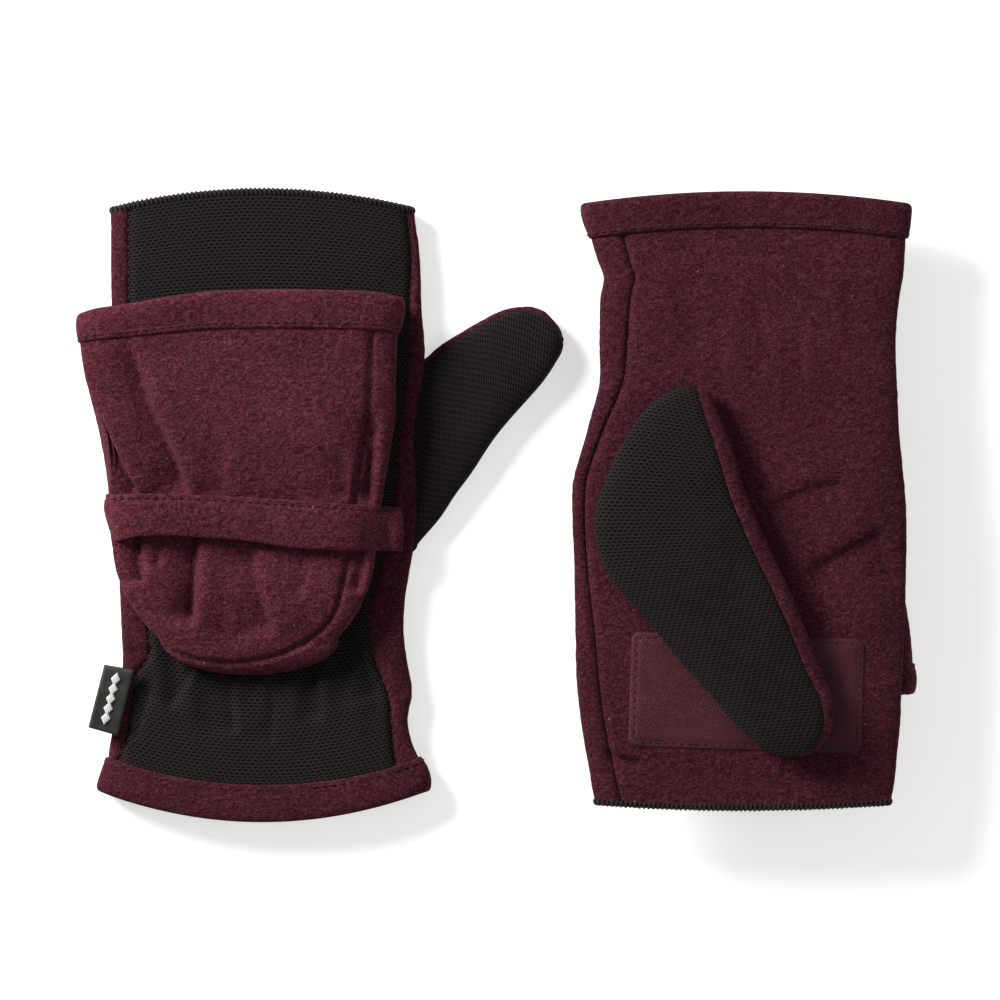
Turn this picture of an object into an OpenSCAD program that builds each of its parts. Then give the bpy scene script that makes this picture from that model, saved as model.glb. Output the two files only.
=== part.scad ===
// A pair of convertible flip-top mittens, laid flat side by side.
// Left mitten: back up, cap folded back under its strap, thumb spread.
// Right mitten: palm up, fingers the other way, thumb folded over the palm.
// Both come from one set of modules. In a mitten's own frame +X points to the
// thumb side, +Y to the fingers and +Z to the back of the hand.

/* [Hand body] */
// Length from the finger edge to the cuff edge
mitten_l = 193; // [165:1:225]
// Width at the finger edge
finger_w = 93; // [84:1:96]
// Width across the broadest part of the hand
hand_w = 97; // [90:1:120]
// Width at the gathered wrist
wrist_w = 88; // [80:1:95]
// Width at the cuff edge
cuff_w = 102; // [94:1:112]
// Broadest part, measured from the finger edge
hand_at = 76; // [60:1:95]
// Gathered wrist, measured from the cuff edge
wrist_at = 48; // [35:1:60]
// Clear height inside for the hand
hand_gap = 5.6; // [5:0.1:9]

/* [Cloth] */
// Thickness of the fleece
fleece_t = 1.6; // [1.2:0.1:2.2]
// Thickness of the stretch knit on the back
knit_t = 1.2; // [0.8:0.1:1.8]
// Thickness of the back lining
lining_t = 0.6; // [0.4:0.1:1]
// Width and depth of a sewing thread
thread_w = 0.5; // [0.4:0.1:0.8]
// Width of the fleece strip on the palm beside the thumb
palm_strip_w = 7.5; // [5:0.5:12]
// Width of the fleece that wraps over the back on the little-finger side
back_strip_w = 6; // [4:0.5:9]
// Width of the fleece on the back, at the fingers and at the wrist, on the thumb side
thumb_strip_w = [3, 9]; // [2:0.5:12]

/* [Cuff and edges] */
// Depth of the turned cuff hem
cuff_hem_d = 11; // [8:0.5:16]
// How far the cuff hem stands proud of the body
hem_proud = 0.8; // [0.5:0.1:1.2]
// Width of the wrist elastic
elastic_w = 8; // [6:0.5:12]
// Thickness of the wrist elastic
elastic_t = 0.6; // [0.4:0.1:0.8]
// Length of the overlocked finger edge
overlock_l = 2; // [1:0.1:3]

/* [Palm patch] */
// Width of the leather patch
patch_w = 72.5; // [50:0.5:78]
// Length of the leather patch
patch_l = 36; // [25:0.5:45]
// Thickness of the leather patch, no more than hem_proud
patch_t = 0.8; // [0.5:0.1:0.8]
// Distance of the patch from the finger edge
patch_at = 16; // [12:0.5:25]
// Corner radius of the patch
patch_r = 3; // [1:0.5:6]
// Distance of the stitching from the patch edge
patch_stitch_in = 1.8; // [1.2:0.1:3]

/* [Cap] */
// Length of the cap from its hem to its tip
cap_l = 116; // [105:1:130]
// Distance of the cap's hinge seam from the finger edge
cap_at = 39; // [32:0.5:46]
// How far the palm hem of the cap reaches past the hinge seam
cap_hem_past = 8; // [5:0.5:12]
// Depth of the cap's hem
cap_hem_d = 9; // [7:0.5:12]
// Thickness of the cap's turned hem
cap_hem_t = 2; // [1.7:0.1:2.4]
// Play at each side of the hand inside the cap
cap_play = 1; // [0.8:0.1:2]
// Distance from the hinge seam to where the cap's stiff side starts
cap_side_at = 8; // [7:0.5:14]
// Width of the cap where the strap holds it
cap_waist_w = 89; // [80:1:95]
// Gap between layers that slide on each other
layer_gap = 0.3; // [0.3:0.05:0.6]
// Sideways offset of the open cap, left and right mitten
cap_shift = [-7, -1.2]; // [-8:0.1:1]
// Width of the hinge seam tape
tape_w = 3; // [2:0.1:4]
// Distance of the long cap seam from the cap's edge
cap_seam_in = 9; // [6:0.5:12]

/* [Strap] */
// Width of the strap
strap_w = 17; // [12:0.5:20]
// Thickness of the folded strap
strap_t = 2.2; // [1.6:0.1:3]
// Middle of the strap, measured from the finger edge
strap_at = 102; // [98:0.5:112]
// Distance of the strap's topstitch from its edge
strap_stitch_in = 1.2; // [0.8:0.1:2.5]

/* [Thumb] */
// Length of the thumb from the middle of its seam to its tip
thumb_l = 58; // [50:0.5:64]
// Angle between the spread thumb and the fingers
thumb_angle = 45; // [38:1:50]
// Width of the thumb near its tip
thumb_tip_w = 27; // [24:0.5:30]
// Thickness of the thumb
thumb_t = 8.3; // [7.5:0.1:9]
// Wall of the thumb
thumb_wall = 1.4; // [1:0.1:1.8]
// Length of the thumb's seam along the side
thumb_seam_l = 57; // [48:0.5:62]
// Middle of the thumb's seam, measured from the finger edge
thumb_at = 80; // [74:0.5:86]
// Width of the cloth between the side and the stiff part of the thumb
thumb_root_w = 4; // [3:0.5:8]
// Distance of the fold line from the middle line, and its lean
fold_x = 22; // [18:0.5:28]
fold_lean = 12; // [6:0.5:15]

/* [Label] */
// Width, length and thickness of the woven label
label_size = [9.4, 21, 0.6];
// Upper inner corner of the label: from the middle line, and from the cuff edge
label_at = [40, 45.5];
// Lean of the label
label_lean = 14; // [0:1:20]

/* [Pair] */
// Gap between the left thumb and the right mitten
pair_gap = 2; // [1.2:0.1:20]

/* [Hidden] */

fleece = [0.32, 0.15, 0.19];
knit = [0.10, 0.10, 0.10];
lining = [0.16, 0.15, 0.15];
leather = [0.30, 0.13, 0.17];
thread = [0.24, 0.10, 0.13];
dark = [0.07, 0.07, 0.07];
steps = 24; // stations along a curved edge
turn = 48; // facets of a full circle
tip_steps = 20; // edges round the thumb's tip
far = 400; // longer than anything here
thread_d = 0.3; // depth of a thread in its cloth

// Heights, from the surface that the palm patch and the cuff hem rest on
palm_z = hem_proud;
palm_top = palm_z + fleece_t;
back_z = palm_top + hand_gap + lining_t + knit_t;
lining_z = back_z - knit_t - lining_t;
cap_z = back_z + layer_gap;
hinge_z = cap_z + knit_t / 2;
// the closed cap reaches under the palm patch by one layer gap
cap_in_z = 2 * hinge_z + layer_gap;
cap_top = cap_in_z + cap_hem_t;
strap_z = cap_top + layer_gap;
stack_z = strap_z + strap_t;

// Places along the mitten
finger_y = mitten_l / 2;
cuff_y = -mitten_l / 2;
hand_y = finger_y - hand_at;
wrist_y = cuff_y + wrist_at;
hinge_y = finger_y - cap_at;
cap_y = hinge_y + cap_hem_past;
strap_y = finger_y - strap_at;
patch_y = finger_y - patch_at - patch_l;
thumb_y = finger_y - thumb_at;

// Cap widths: the hand's broadest part passes between the cap's sides
cap_w = hand_w + 2 * (fleece_t + cap_play);
cap_full = cap_at + cap_hem_past + overlock_l + 1; // depth of the full width
cap_neck = cap_full + 16; // depth at which the waist is reached

// Thumb: a tapered pocket with a round tip, and the line it folds on
thumb_r = thumb_tip_w / 2;
thumb_root = [hand_w / 2, thumb_y];
thumb_tip = thumb_root + (thumb_l - thumb_r) * [sin(thumb_angle), cos(thumb_angle)];
thumb_x = hand_w / 2 + thumb_root_w;
fold_z = -layer_gap / 2 - 0.05;
fold_dir = [sin(fold_lean), cos(fold_lean)];
fold_at = [fold_x, thumb_y];
// the stiff part's end, which is this far from the fold line at its nearest,
// swings clear of the cloth at its root
swing_r = (thumb_x - fold_x) * cos(fold_lean) - 0.54 * thumb_seam_l * sin(fold_lean);
swing_gap = layer_gap + swing_r - sqrt(pow(swing_r, 2) - pow(thumb_t + layer_gap, 2));

// The two mittens side by side, with the pair centred on the origin
left_reach = cap_w / 2 - cap_shift[0];
thumb_reach = thumb_tip.x + thumb_r;
side_reach = max(cap_w / 2 + cap_shift[1], hand_w / 2, cuff_w / 2 + hem_proud);
right_reach = max(cap_w / 2 - cap_shift[1], cuff_w / 2 + hem_proud, strap_pinky(1) + fleece_t);
pair_w = left_reach + thumb_reach + pair_gap + side_reach + right_reach;
left_at = [left_reach - pair_w / 2, -overlock_l / 2, 0];
right_at = [pair_w / 2 - right_reach, overlock_l / 2, stack_z];

function ease(t) = let (u = max(0, min(1, t))) u * u * (3 - 2 * u);
function mix(a, b, t) = a + (b - a) * t;

// Half the width of the hand body at y: cuff, wrist, hand, fingers
function body(y) =
    (y < wrist_y ? mix(cuff_w, wrist_w, ease((y - cuff_y) / wrist_at))
    : y < hand_y ? mix(wrist_w, hand_w, ease((y - wrist_y) / (hand_y - wrist_y)))
    : mix(hand_w, finger_w, ease((y - hand_y) / hand_at))) / 2;

// Width of the fleece on the back beside the thumb, at y
function thumb_strip(y) =
    mix(thumb_strip_w[1], thumb_strip_w[0], ease((y - wrist_y) / (finger_y - wrist_y)));

// Half the width of the cap at depth s from its hem
function cap(s) =
    s < cap_neck ? mix(cap_w, cap_waist_w, ease((s - cap_full) / (cap_neck - cap_full))) / 2
    : cap_waist_w / 2 * sqrt(max(0, 1 - pow((s - cap_neck) / (cap_l - cap_neck), 2)));

// How far the strap's little-finger end is from the middle line
function strap_pinky(side) =
    max(hand_w / 2, cap(cap_y - strap_y - strap_w / 2) - cap_shift[side]) + layer_gap;

// How far its thumb end is: past the cap, and at least on the seam of the back
function strap_thumb(side) =
    max(cap(cap_y - strap_y - strap_w / 2) + cap_shift[side] + layer_gap,
        body(strap_y) - thumb_strip(strap_y) - fleece_t / 2);

// Angle at which a line from p touches a circle of radius r about c
function touch(c, r, p, s) = atan2(p.y - c.y, p.x - c.x) + s * acos(r / norm(p - c));

// A point on the other side of the fold line
function folded(p) =
    let (n = [fold_dir.y, -fold_dir.x]) p - 2 * ((p - fold_at) * n) * n;

// Flat shape between two side curves, from y0 to y1
module between(y0, y1, left, right) {
    ys = [for (i = [0:steps]) mix(y0, y1, i / steps)];
    polygon(concat(
        [for (y = ys) [right(y), y]],
        [for (i = [steps:-1:0]) [left(ys[i]), ys[i]]]
    ));
}

// Slab of the body's outline, grown sideways
module slab(z0, z1, y0, y1, grow = 0)
    translate([0, 0, z0]) linear_extrude(z1 - z0)
        between(y0, y1, function (y) -body(y) - grow, function (y) body(y) + grow);

// Open-ended sleeve round the body, with its own depth inwards
module sleeve(y0, y1, proud, depth) difference() {
    slab(palm_z - proud, back_z + proud, y0, y1, proud);
    slab(palm_z - proud + depth, back_z + proud - depth, y0 - 1, y1 + 1, proud - depth);
}

// Outline of the cap between two depths, drawn inset from its edge. Its points
// are the same whatever the depths, so that neighbours meet along one edge
module cap_outline(s0, s1, inset = 0) {
    top = cap_l - inset;
    ss = [for (i = [0:3 * steps]) top * sin(30 * i / steps)];
    function half(s) = max(0.01, cap(s * (inset > 0 && s > cap_neck
        ? mix(1, cap_l / top, (s - cap_neck) / (top - cap_neck)) : 1)) - inset);
    intersection() {
        translate([0, cap_y]) polygon(concat(
            [for (s = ss) [half(s), -s]],
            [for (i = [3 * steps:-1:0]) [-half(ss[i]), -ss[i]]]
        ));
        translate([-far / 2, cap_y - s1]) square([far, s1 - s0]);
    }
}

module cap_slab(z0, z1, s0, s1 = cap_l, inset = 0)
    translate([$shift, 0, z0]) linear_extrude(z1 - z0) cap_outline(s0, s1, inset);

// Outline of the spread thumb, inset from its edge: two straight sides and a round tip
module thumb_outline(inset = 0) {
    r = thumb_r - inset;
    hi = thumb_root + [0, thumb_seam_l / 2 - 1.5 * inset];
    lo = thumb_root - [0, thumb_seam_l / 2 - 1.5 * inset];
    in = [hand_w / 4, 0];
    a0 = touch(thumb_tip, r, lo, 1);
    a1 = touch(thumb_tip, r, hi, -1);
    a_end = a1 < a0 ? a1 + 360 : a1;
    polygon(concat([hi, hi - in, lo - in, lo],
        [for (i = [0:tip_steps]) let (a = mix(a0, a_end, i / tip_steps))
            thumb_tip + r * [cos(a), sin(a)]]));
}

// One half of the thumb's shell, from z0 to z1, with its floor at z0 or its roof at z1
module thumb_half(z0, z1, floor) difference() {
    translate([0, 0, z0]) linear_extrude(z1 - z0) intersection() {
        thumb_outline();
        translate([thumb_x, -far / 2]) square(far);
    }
    translate([0, 0, floor > 0 ? z0 + floor : z0 - 1])
        linear_extrude(z1 - z0 - abs(floor) + 1) thumb_outline(thumb_wall);
}

module rounded(w, l, r) {
    translate([r, 0]) square([w - 2 * r, l]);
    translate([0, r]) square([w, l - 2 * r]);
    for (x = [r, w - r], y = [r, l - r]) translate([x, y]) circle(r, $fn = turn);
}

module patch_line(inset)
    translate([-patch_w / 2 + inset, patch_y + inset])
        rounded(patch_w - 2 * inset, patch_l - 2 * inset, max(0.5, patch_r - inset));

// Placing
module left() {
    $side = 0;
    $shift = cap_shift[0];
    translate(left_at) children();
}

module right() {
    $side = 1;
    $shift = cap_shift[1];
    translate(right_at) mirror([0, 0, 1]) rotate(180) children();
}

module thumb_pose()
    if ($side == 0) children();
    else translate([fold_at.x, fold_at.y, fold_z])
        rotate(180, [fold_dir.x, fold_dir.y, 0])
            translate([-fold_at.x, -fold_at.y, -fold_z]) children();

// Fleece palm, wrapped round the little-finger side onto the back
module palm_panel() color(fleece) {
    translate([0, 0, palm_z]) linear_extrude(fleece_t)
        between(cuff_y, finger_y, function (y) -body(y), function (y) body(y) - palm_strip_w);
    translate([0, 0, palm_z]) linear_extrude(back_z - palm_z)
        between(cuff_y, finger_y, function (y) -body(y), function (y) fleece_t - body(y));
    translate([0, 0, back_z - knit_t]) linear_extrude(knit_t)
        between(cuff_y, finger_y, function (y) -body(y), function (y) back_strip_w - body(y));
}

// Fleece strip round the thumb side, with the hole for the thumb
module side_gusset() color(fleece) {
    translate([0, 0, palm_z]) linear_extrude(fleece_t)
        between(cuff_y, finger_y, function (y) body(y) - palm_strip_w, function (y) body(y));
    difference() {
        translate([0, 0, palm_z]) linear_extrude(back_z - palm_z)
            between(cuff_y, finger_y, function (y) body(y) - fleece_t, function (y) body(y));
        translate([hand_w / 2 - 3 * fleece_t, thumb_y - thumb_seam_l / 2 + 4, palm_top])
            cube([6 * fleece_t, thumb_seam_l - 8, thumb_t - thumb_wall - palm_top]);
    }
    translate([0, 0, back_z - knit_t]) linear_extrude(knit_t)
        between(cuff_y, finger_y, function (y) body(y) - thumb_strip(y), function (y) body(y));
}

module back_seam_lines() for (s = [0, 1])
    translate([0, 0, back_z - thread_d]) linear_extrude(thread_d) intersection() {
        between(cuff_y, finger_y,
            function (y) s ? body(y) - thumb_strip(y) - thread_w : back_strip_w - body(y),
            function (y) s ? body(y) - thumb_strip(y) : back_strip_w + thread_w - body(y));
        translate([-far / 2, cuff_y + cuff_hem_d]) square(far);
    }

module back_seam_thread() color(thread) back_seam_lines();

// Stretch knit back
module back_panel() color(knit) difference() {
    translate([0, 0, back_z - knit_t]) linear_extrude(knit_t)
        between(cuff_y, finger_y, function (y) back_strip_w - body(y),
            function (y) body(y) - thumb_strip(y));
    back_seam_lines();
}

module back_lining() color(lining)
    slab(lining_z, back_z - knit_t, cuff_y, finger_y, -fleece_t);

// Elastic sewn under the lining, which gathers the wrist
module wrist_elastic() color(dark)
    slab(lining_z - elastic_t, lining_z, wrist_y - elastic_w / 2, wrist_y + elastic_w / 2,
        -back_strip_w);

module cuff_line() {
    y = cuff_y + cuff_hem_d - 3 * thread_w;
    sleeve(y, y + thread_w, hem_proud, thread_d);
}

module cuff_hem() color(fleece) difference() {
    sleeve(cuff_y, cuff_y + cuff_hem_d, hem_proud, hem_proud);
    cuff_line();
}

module cuff_thread() color(thread) cuff_line();

module finger_overlock() color(dark)
    sleeve(finger_y, finger_y + overlock_l, 0, fleece_t);

// Leather palm patch and its stitching
module patch_stitches() linear_extrude(thread_d) difference() {
    patch_line(patch_stitch_in);
    patch_line(patch_stitch_in + thread_w);
}

module palm_patch() color(leather) translate([0, 0, palm_z - patch_t]) difference() {
    linear_extrude(patch_t) patch_line(0);
    patch_stitches();
}

module patch_thread() color(thread) translate([0, 0, palm_z - patch_t]) patch_stitches();

// Strap over the cap: sewn to the back by the thumb, and round the little-finger side
module strap_end_lines() for (y = [strap_y + strap_w / 2 - strap_stitch_in - thread_w])
    translate([-strap_pinky($side), y, stack_z - thread_d])
        cube([strap_pinky($side) + strap_thumb($side) - layer_gap, thread_w, thread_d]);

module strap() color(fleece) {
    pinky = strap_pinky($side);
    thumb = strap_thumb($side);
    y0 = strap_y - strap_w / 2;
    foot_z = palm_z + (back_z - palm_z) / 2;
    difference() {
        translate([-pinky - fleece_t, y0, strap_z])
            cube([pinky + thumb + 2 * fleece_t, strap_w, strap_t]);
        strap_end_lines();
    }
    translate([thumb, y0, back_z]) cube([fleece_t, strap_w, strap_z - back_z]);
    translate([-pinky - fleece_t, y0, foot_z]) cube([fleece_t, strap_w, strap_z - foot_z]);
    difference() {
        translate([-pinky - fleece_t, y0, foot_z])
            cube([pinky + fleece_t - wrist_w / 2, strap_w, fleece_t]);
        slab(0, back_z, cuff_y, finger_y);
    }
}

module strap_thread() color(thread) strap_end_lines();

// Cap: tape on the hinge seam, knit back, fleece side, fleece palm layer and its hem
module cap_tape() color(dark)
    translate([$shift - wrist_w / 2, hinge_y - tape_w / 2, cap_z]) cube([wrist_w, tape_w, knit_t]);

module cap_back() color(knit)
    cap_slab(cap_z, cap_z + knit_t, cap_hem_past + tape_w / 2 + layer_gap);

module cap_gusset() color(fleece) difference() {
    cap_slab(cap_z + knit_t, cap_in_z + fleece_t, cap_hem_past + cap_side_at);
    cap_slab(cap_z, cap_top + 1, 0, cap_l, fleece_t);
}

module cap_hem_line() cap_slab(cap_top - thread_d, cap_top + 1,
    cap_hem_d - 2 * thread_w, cap_hem_d - thread_w);

module cap_hem() color(fleece) difference() {
    cap_slab(cap_in_z, cap_top, 0, cap_hem_d);
    cap_hem_line();
}

module cap_hem_thread() color(thread) intersection() {
    cap_slab(cap_in_z, cap_top, 0, cap_hem_d);
    cap_hem_line();
}

module cap_seam_line() {
    z = cap_in_z + fleece_t;
    intersection() {
        difference() {
            cap_slab(z - thread_d, z, cap_hem_d, cap_l, cap_seam_in);
            cap_slab(z - 1, z + 1, 0, cap_l, cap_seam_in + thread_w);
        }
        translate([$shift, -far / 2, 0]) cube(far);
    }
}

module cap_front() color(fleece) difference() {
    cap_slab(cap_in_z, cap_in_z + fleece_t, cap_hem_d, cap_l, fleece_t);
    cap_seam_line();
}

module cap_seam_thread() color(thread) cap_seam_line();

// Thumb: knit on its back, fleece on its front, and the soft cloth at its root
module thumb_back() color(knit) thumb_pose()
    thumb_half(thumb_t / 2, thumb_t, -thumb_wall);

module thumb_front() color(fleece) thumb_pose()
    thumb_half(0, thumb_t / 2, thumb_wall);

// Spread thumb: a short sleeve out of the side
module thumb_root_spread() difference() {
    linear_extrude(thumb_t) intersection() {
        thumb_outline();
        translate([0, -far / 2]) square([thumb_x - layer_gap, far]);
    }
    translate([0, 0, thumb_wall]) linear_extrude(thumb_t - 2 * thumb_wall)
        thumb_outline(thumb_wall);
    slab(-1, back_z + 1, cuff_y, finger_y);
}

// Folded thumb: the sleeve lies turned over on the palm, up to the stiff part
module thumb_root_outline(inset) {
    x = thumb_x - swing_gap;
    half = thumb_seam_l / 2;
    hi = folded([x, thumb_y + half * 1.08 - inset]);
    lo = folded([x, thumb_y + inset - half * 0.7]);
    side_x = hand_w / 2 - 4 - inset;
    over = inset > 0 ? thumb_root_w : 0;
    polygon([hi - [over, 0], lo - [over, 0], lo, [fold_x - 7, thumb_y - 49 + 2 * inset],
        [side_x, thumb_y - 11 + inset], [side_x, thumb_y - 3],
        [hand_w / 3, thumb_y + 18 - inset], hi]);
}

module thumb_root_folded() {
    bottom = 2 * fold_z - thumb_t;
    difference() {
        translate([0, 0, bottom]) linear_extrude(thumb_t) thumb_root_outline(0);
        translate([0, 0, bottom + thumb_wall]) linear_extrude(thumb_t - 2 * thumb_wall)
            thumb_root_outline(thumb_wall);
    }
    translate([0, 0, 2 * fold_z]) linear_extrude(palm_z - 2 * fold_z) intersection() {
        thumb_root_outline(0);
        translate([-far / 2, -far]) square([far, far + patch_y - 1]);
    }
}

module thumb_root() color(knit)
    if ($side == 0) thumb_root_spread();
    else thumb_root_folded();

// Woven label, sewn in along its inner long edge
module label() color(dark)
    translate([-label_at[0], cuff_y + label_at[1], back_z + layer_gap]) rotate(-label_lean)
        translate([-label_size[0], -label_size[1], 0]) cube(label_size);

left() palm_panel();  // left_palm_panel
left() side_gusset();  // left_side_gusset
left() back_panel();  // left_back_panel
left() back_lining();  // left_back_lining
left() wrist_elastic();  // left_wrist_elastic
left() cuff_hem();  // left_cuff_hem
left() cuff_thread();  // left_cuff_thread
left() finger_overlock();  // left_finger_overlock
left() back_seam_thread();  // left_back_seam_thread
left() palm_patch();  // left_palm_patch
left() patch_thread();  // left_patch_thread
left() strap();  // left_strap
left() strap_thread();  // left_strap_thread
left() cap_tape();  // left_cap_tape
left() cap_back();  // left_cap_back
left() cap_gusset();  // left_cap_gusset
left() cap_front();  // left_cap_front
left() cap_hem();  // left_cap_hem
left() cap_hem_thread();  // left_cap_hem_thread
left() cap_seam_thread();  // left_cap_seam_thread
left() thumb_root();  // left_thumb_root
left() thumb_back();  // left_thumb_back
left() thumb_front();  // left_thumb_front
left() label();  // left_label
right() palm_panel();  // right_palm_panel
right() side_gusset();  // right_side_gusset
right() back_panel();  // right_back_panel
right() back_lining();  // right_back_lining
right() wrist_elastic();  // right_wrist_elastic
right() cuff_hem();  // right_cuff_hem
right() cuff_thread();  // right_cuff_thread
right() finger_overlock();  // right_finger_overlock
right() back_seam_thread();  // right_back_seam_thread
right() palm_patch();  // right_palm_patch
right() patch_thread();  // right_patch_thread
right() strap();  // right_strap
right() strap_thread();  // right_strap_thread
right() cap_tape();  // right_cap_tape
right() cap_back();  // right_cap_back
right() cap_gusset();  // right_cap_gusset
right() cap_front();  // right_cap_front
right() cap_hem();  // right_cap_hem
right() cap_hem_thread();  // right_cap_hem_thread
right() cap_seam_thread();  // right_cap_seam_thread
right() thumb_root();  // right_thumb_root
right() thumb_back();  // right_thumb_back
right() thumb_front();  // right_thumb_front
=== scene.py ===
import math

import bmesh
import bpy
import numpy as np
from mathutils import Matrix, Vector


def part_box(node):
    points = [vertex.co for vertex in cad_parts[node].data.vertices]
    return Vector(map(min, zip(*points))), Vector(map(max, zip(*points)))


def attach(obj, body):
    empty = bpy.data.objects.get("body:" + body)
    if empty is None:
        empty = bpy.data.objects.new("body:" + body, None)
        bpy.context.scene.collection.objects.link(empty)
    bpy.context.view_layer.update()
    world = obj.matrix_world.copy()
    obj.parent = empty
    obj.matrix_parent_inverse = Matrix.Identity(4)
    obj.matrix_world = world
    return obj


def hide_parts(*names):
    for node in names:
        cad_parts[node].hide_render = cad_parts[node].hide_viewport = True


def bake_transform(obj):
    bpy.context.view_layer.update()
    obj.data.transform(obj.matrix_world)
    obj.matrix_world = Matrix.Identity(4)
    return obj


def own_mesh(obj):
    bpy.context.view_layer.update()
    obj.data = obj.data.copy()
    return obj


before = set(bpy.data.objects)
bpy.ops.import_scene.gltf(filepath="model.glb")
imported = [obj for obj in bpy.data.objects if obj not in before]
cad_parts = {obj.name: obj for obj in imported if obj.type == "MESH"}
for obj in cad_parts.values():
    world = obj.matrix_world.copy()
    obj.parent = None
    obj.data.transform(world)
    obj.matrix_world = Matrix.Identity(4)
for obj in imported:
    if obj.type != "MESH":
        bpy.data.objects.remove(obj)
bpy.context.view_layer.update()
mm = 0.001
print("frame loaded:", len(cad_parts), "CAD nodes")


def boxOf(node):
    low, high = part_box(node)
    return np.array(low), np.array(high)


def mittenPlace(side):
    # Origin and sense of a mitten's frame: middle of its lining, height of its palm patch.
    low, high = boxOf(side + "_back_lining")
    patchLow, patchHigh = boxOf(side + "_palm_patch")
    up = side == "left"
    z = patchLow[2] if up else patchHigh[2]
    return {"origin": np.array([(low[0] + high[0]) / 2, (low[1] + high[1]) / 2, z]),
        "sense": 1.0 if up else -1.0}


place = {side: mittenPlace(side) for side in ("left", "right")}


def localBox(side, node):
    # Box of a CAD node in its mitten's own frame, in millimetres.
    low, high = boxOf(f"{side}_{node}")
    a = (low - place[side]["origin"]) / mm * place[side]["sense"]
    b = (high - place[side]["origin"]) / mm * place[side]["sense"]
    return np.minimum(a, b), np.maximum(a, b)


def toRow(side, points):
    # Mitten frame in millimetres to the shared frame in metres.
    return place[side]["origin"] + place[side]["sense"] * np.asarray(points) * mm


liningLow, liningHigh = localBox("left", "back_lining")
hemLow, hemHigh = localBox("left", "cuff_hem")
backHigh = localBox("left", "back_panel")[1]
tapeLow, tapeHigh = localBox("left", "cap_tape")
capHemHigh = localBox("left", "cap_hem")[1]
strapLow, strapHigh = localBox("left", "strap")
thumbHigh = localBox("left", "thumb_back")[1]
levels = {
    "palm": localBox("left", "palm_panel")[0][2],  # outside of the palm cloth
    "back": backHigh[2],  # outside of the back cloth
    "cap": tapeLow[2],  # underside of the cap
    "capTop": capHemHigh[2],
    "strapTop": strapHigh[2],
    "hinge": (tapeLow[2] + tapeHigh[2]) / 2,
    "hingeY": (tapeLow[1] + tapeHigh[1]) / 2,
    "capY": capHemHigh[1],
    "strapY": (strapLow[1] + strapHigh[1]) / 2,
    "thumb": thumbHigh[2],
}
wide = (hemHigh[0] - hemLow[0]) / 103.6  # sizes below were taken at this cuff width
long = (liningHigh[1] - liningLow[1]) / 193.0  # and at this length


def smoothLine(stations, values, at):
    # Cubic through stations: on each span h00*v0 + h10*h*m0 + h01*v1 + h11*h*m1, slopes m from
    # neighbours.
    s = np.asarray(stations, float)
    v = np.asarray(values, float)
    m = np.gradient(v, s)
    x = np.clip(at, s[0], s[-1])
    i = np.clip(np.searchsorted(s, x, side="right") - 1, 0, len(s) - 2)
    h = s[i + 1] - s[i]
    t = (x - s[i]) / h
    t2, t3 = t * t, t * t * t
    return (2 * t3 - 3 * t2 + 1) * v[i] + (t3 - 2 * t2 + t) * h * m[i] + (3 * t2 - 2 * t3) * v[i
        + 1] + (t3 - t2) * h * m[i + 1]


def ease(t):
    # 3t^2 - 2t^3 between 0 and 1.
    u = np.clip(t, 0, 1)
    return u * u * (3 - 2 * u)


def bell(d, width):
    # exp(-(d/width)^2).
    return np.exp(-((d / width) ** 2))


def latticeValue(i, j, k, seed):
    n = (i * 73856093) ^ (j * 19349663) ^ (k * 83492791) ^ (seed * 97531)
    n = ((n ^ (n >> 13)) * 1274126177) & 0x7FFFFFFF
    n = ((n ^ (n >> 15)) * 668265263) & 0x7FFFFFFF
    return (n & 0xFFFF) / 65535.0


def softNoise(points, cell, seed=0):
    # Value noise from -1 to 1: lattice values at spacing cell, blended by 3t^2 - 2t^3 along each axis.
    q = np.asarray(points, float) / cell + 1000.0
    i = np.floor(q).astype(np.int64)
    f = ease(q - i)
    total = 0.0
    for dx in (0, 1):
        for dy in (0, 1):
            for dz in (0, 1):
                w = (f[..., 0] if dx else 1 - f[..., 0]) * (f[..., 1] if dy else 1
                    - f[..., 1]) * (f[..., 2] if dz else 1 - f[..., 2])
                total = total + w * latticeValue(i[..., 0] + dx, i[..., 1] + dy, i[..., 2] + dz, seed)
    return 2 * total - 1


def nearLine(x, y, line):
    # Signed distance from points to a polyline, positive on its left as it runs, and the share of its
    # length there.
    p = np.asarray(line, float)
    lengths = np.hypot(*(p[1:] - p[:-1]).T)
    start = np.concatenate([[0], np.cumsum(lengths)])
    best = np.full(np.shape(x), 1e9)
    signed = np.zeros(np.shape(x))
    share = np.zeros(np.shape(x))
    for a, b, l0, l in zip(p[:-1], p[1:], start[:-1], lengths):
        d = b - a
        t = np.clip(((x - a[0]) * d[0] + (y - a[1]) * d[1]) / (l * l), 0, 1)
        r = np.hypot(x - a[0] - t * d[0], y - a[1] - t * d[1])
        left = np.where(d[0] * (y - a[1]) - d[1] * (x - a[0]) >= 0, 1.0, -1.0)
        near = r < best
        best = np.where(near, r, best)
        signed = np.where(near, r * left, signed)
        share = np.where(near, (l0 + t * l) / start[-1], share)
    return signed, share


def folds(x, y, lines):
    # Sum of folds: each a valley that is steep on the left of its line and gentle on its right, with a
    # soft ridge past the steep side; it deepens along its line and fades out at both ends.
    total = 0.0
    for line, depth, width in lines:
        d, share = nearLine(x, y, line)
        fade = ease(share * 3.0) * ease((1 - share) * 7) * (0.65 + 0.35 * share)
        valley = np.where(d > 0, bell(d, 0.42 * width), np.exp(-np.abs(d / (2.2 * width)) ** 1.15))
        total = total + depth * fade * (0.16 * bell(d - 1.6 * width, 1.5 * width) - valley)
    return total


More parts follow.
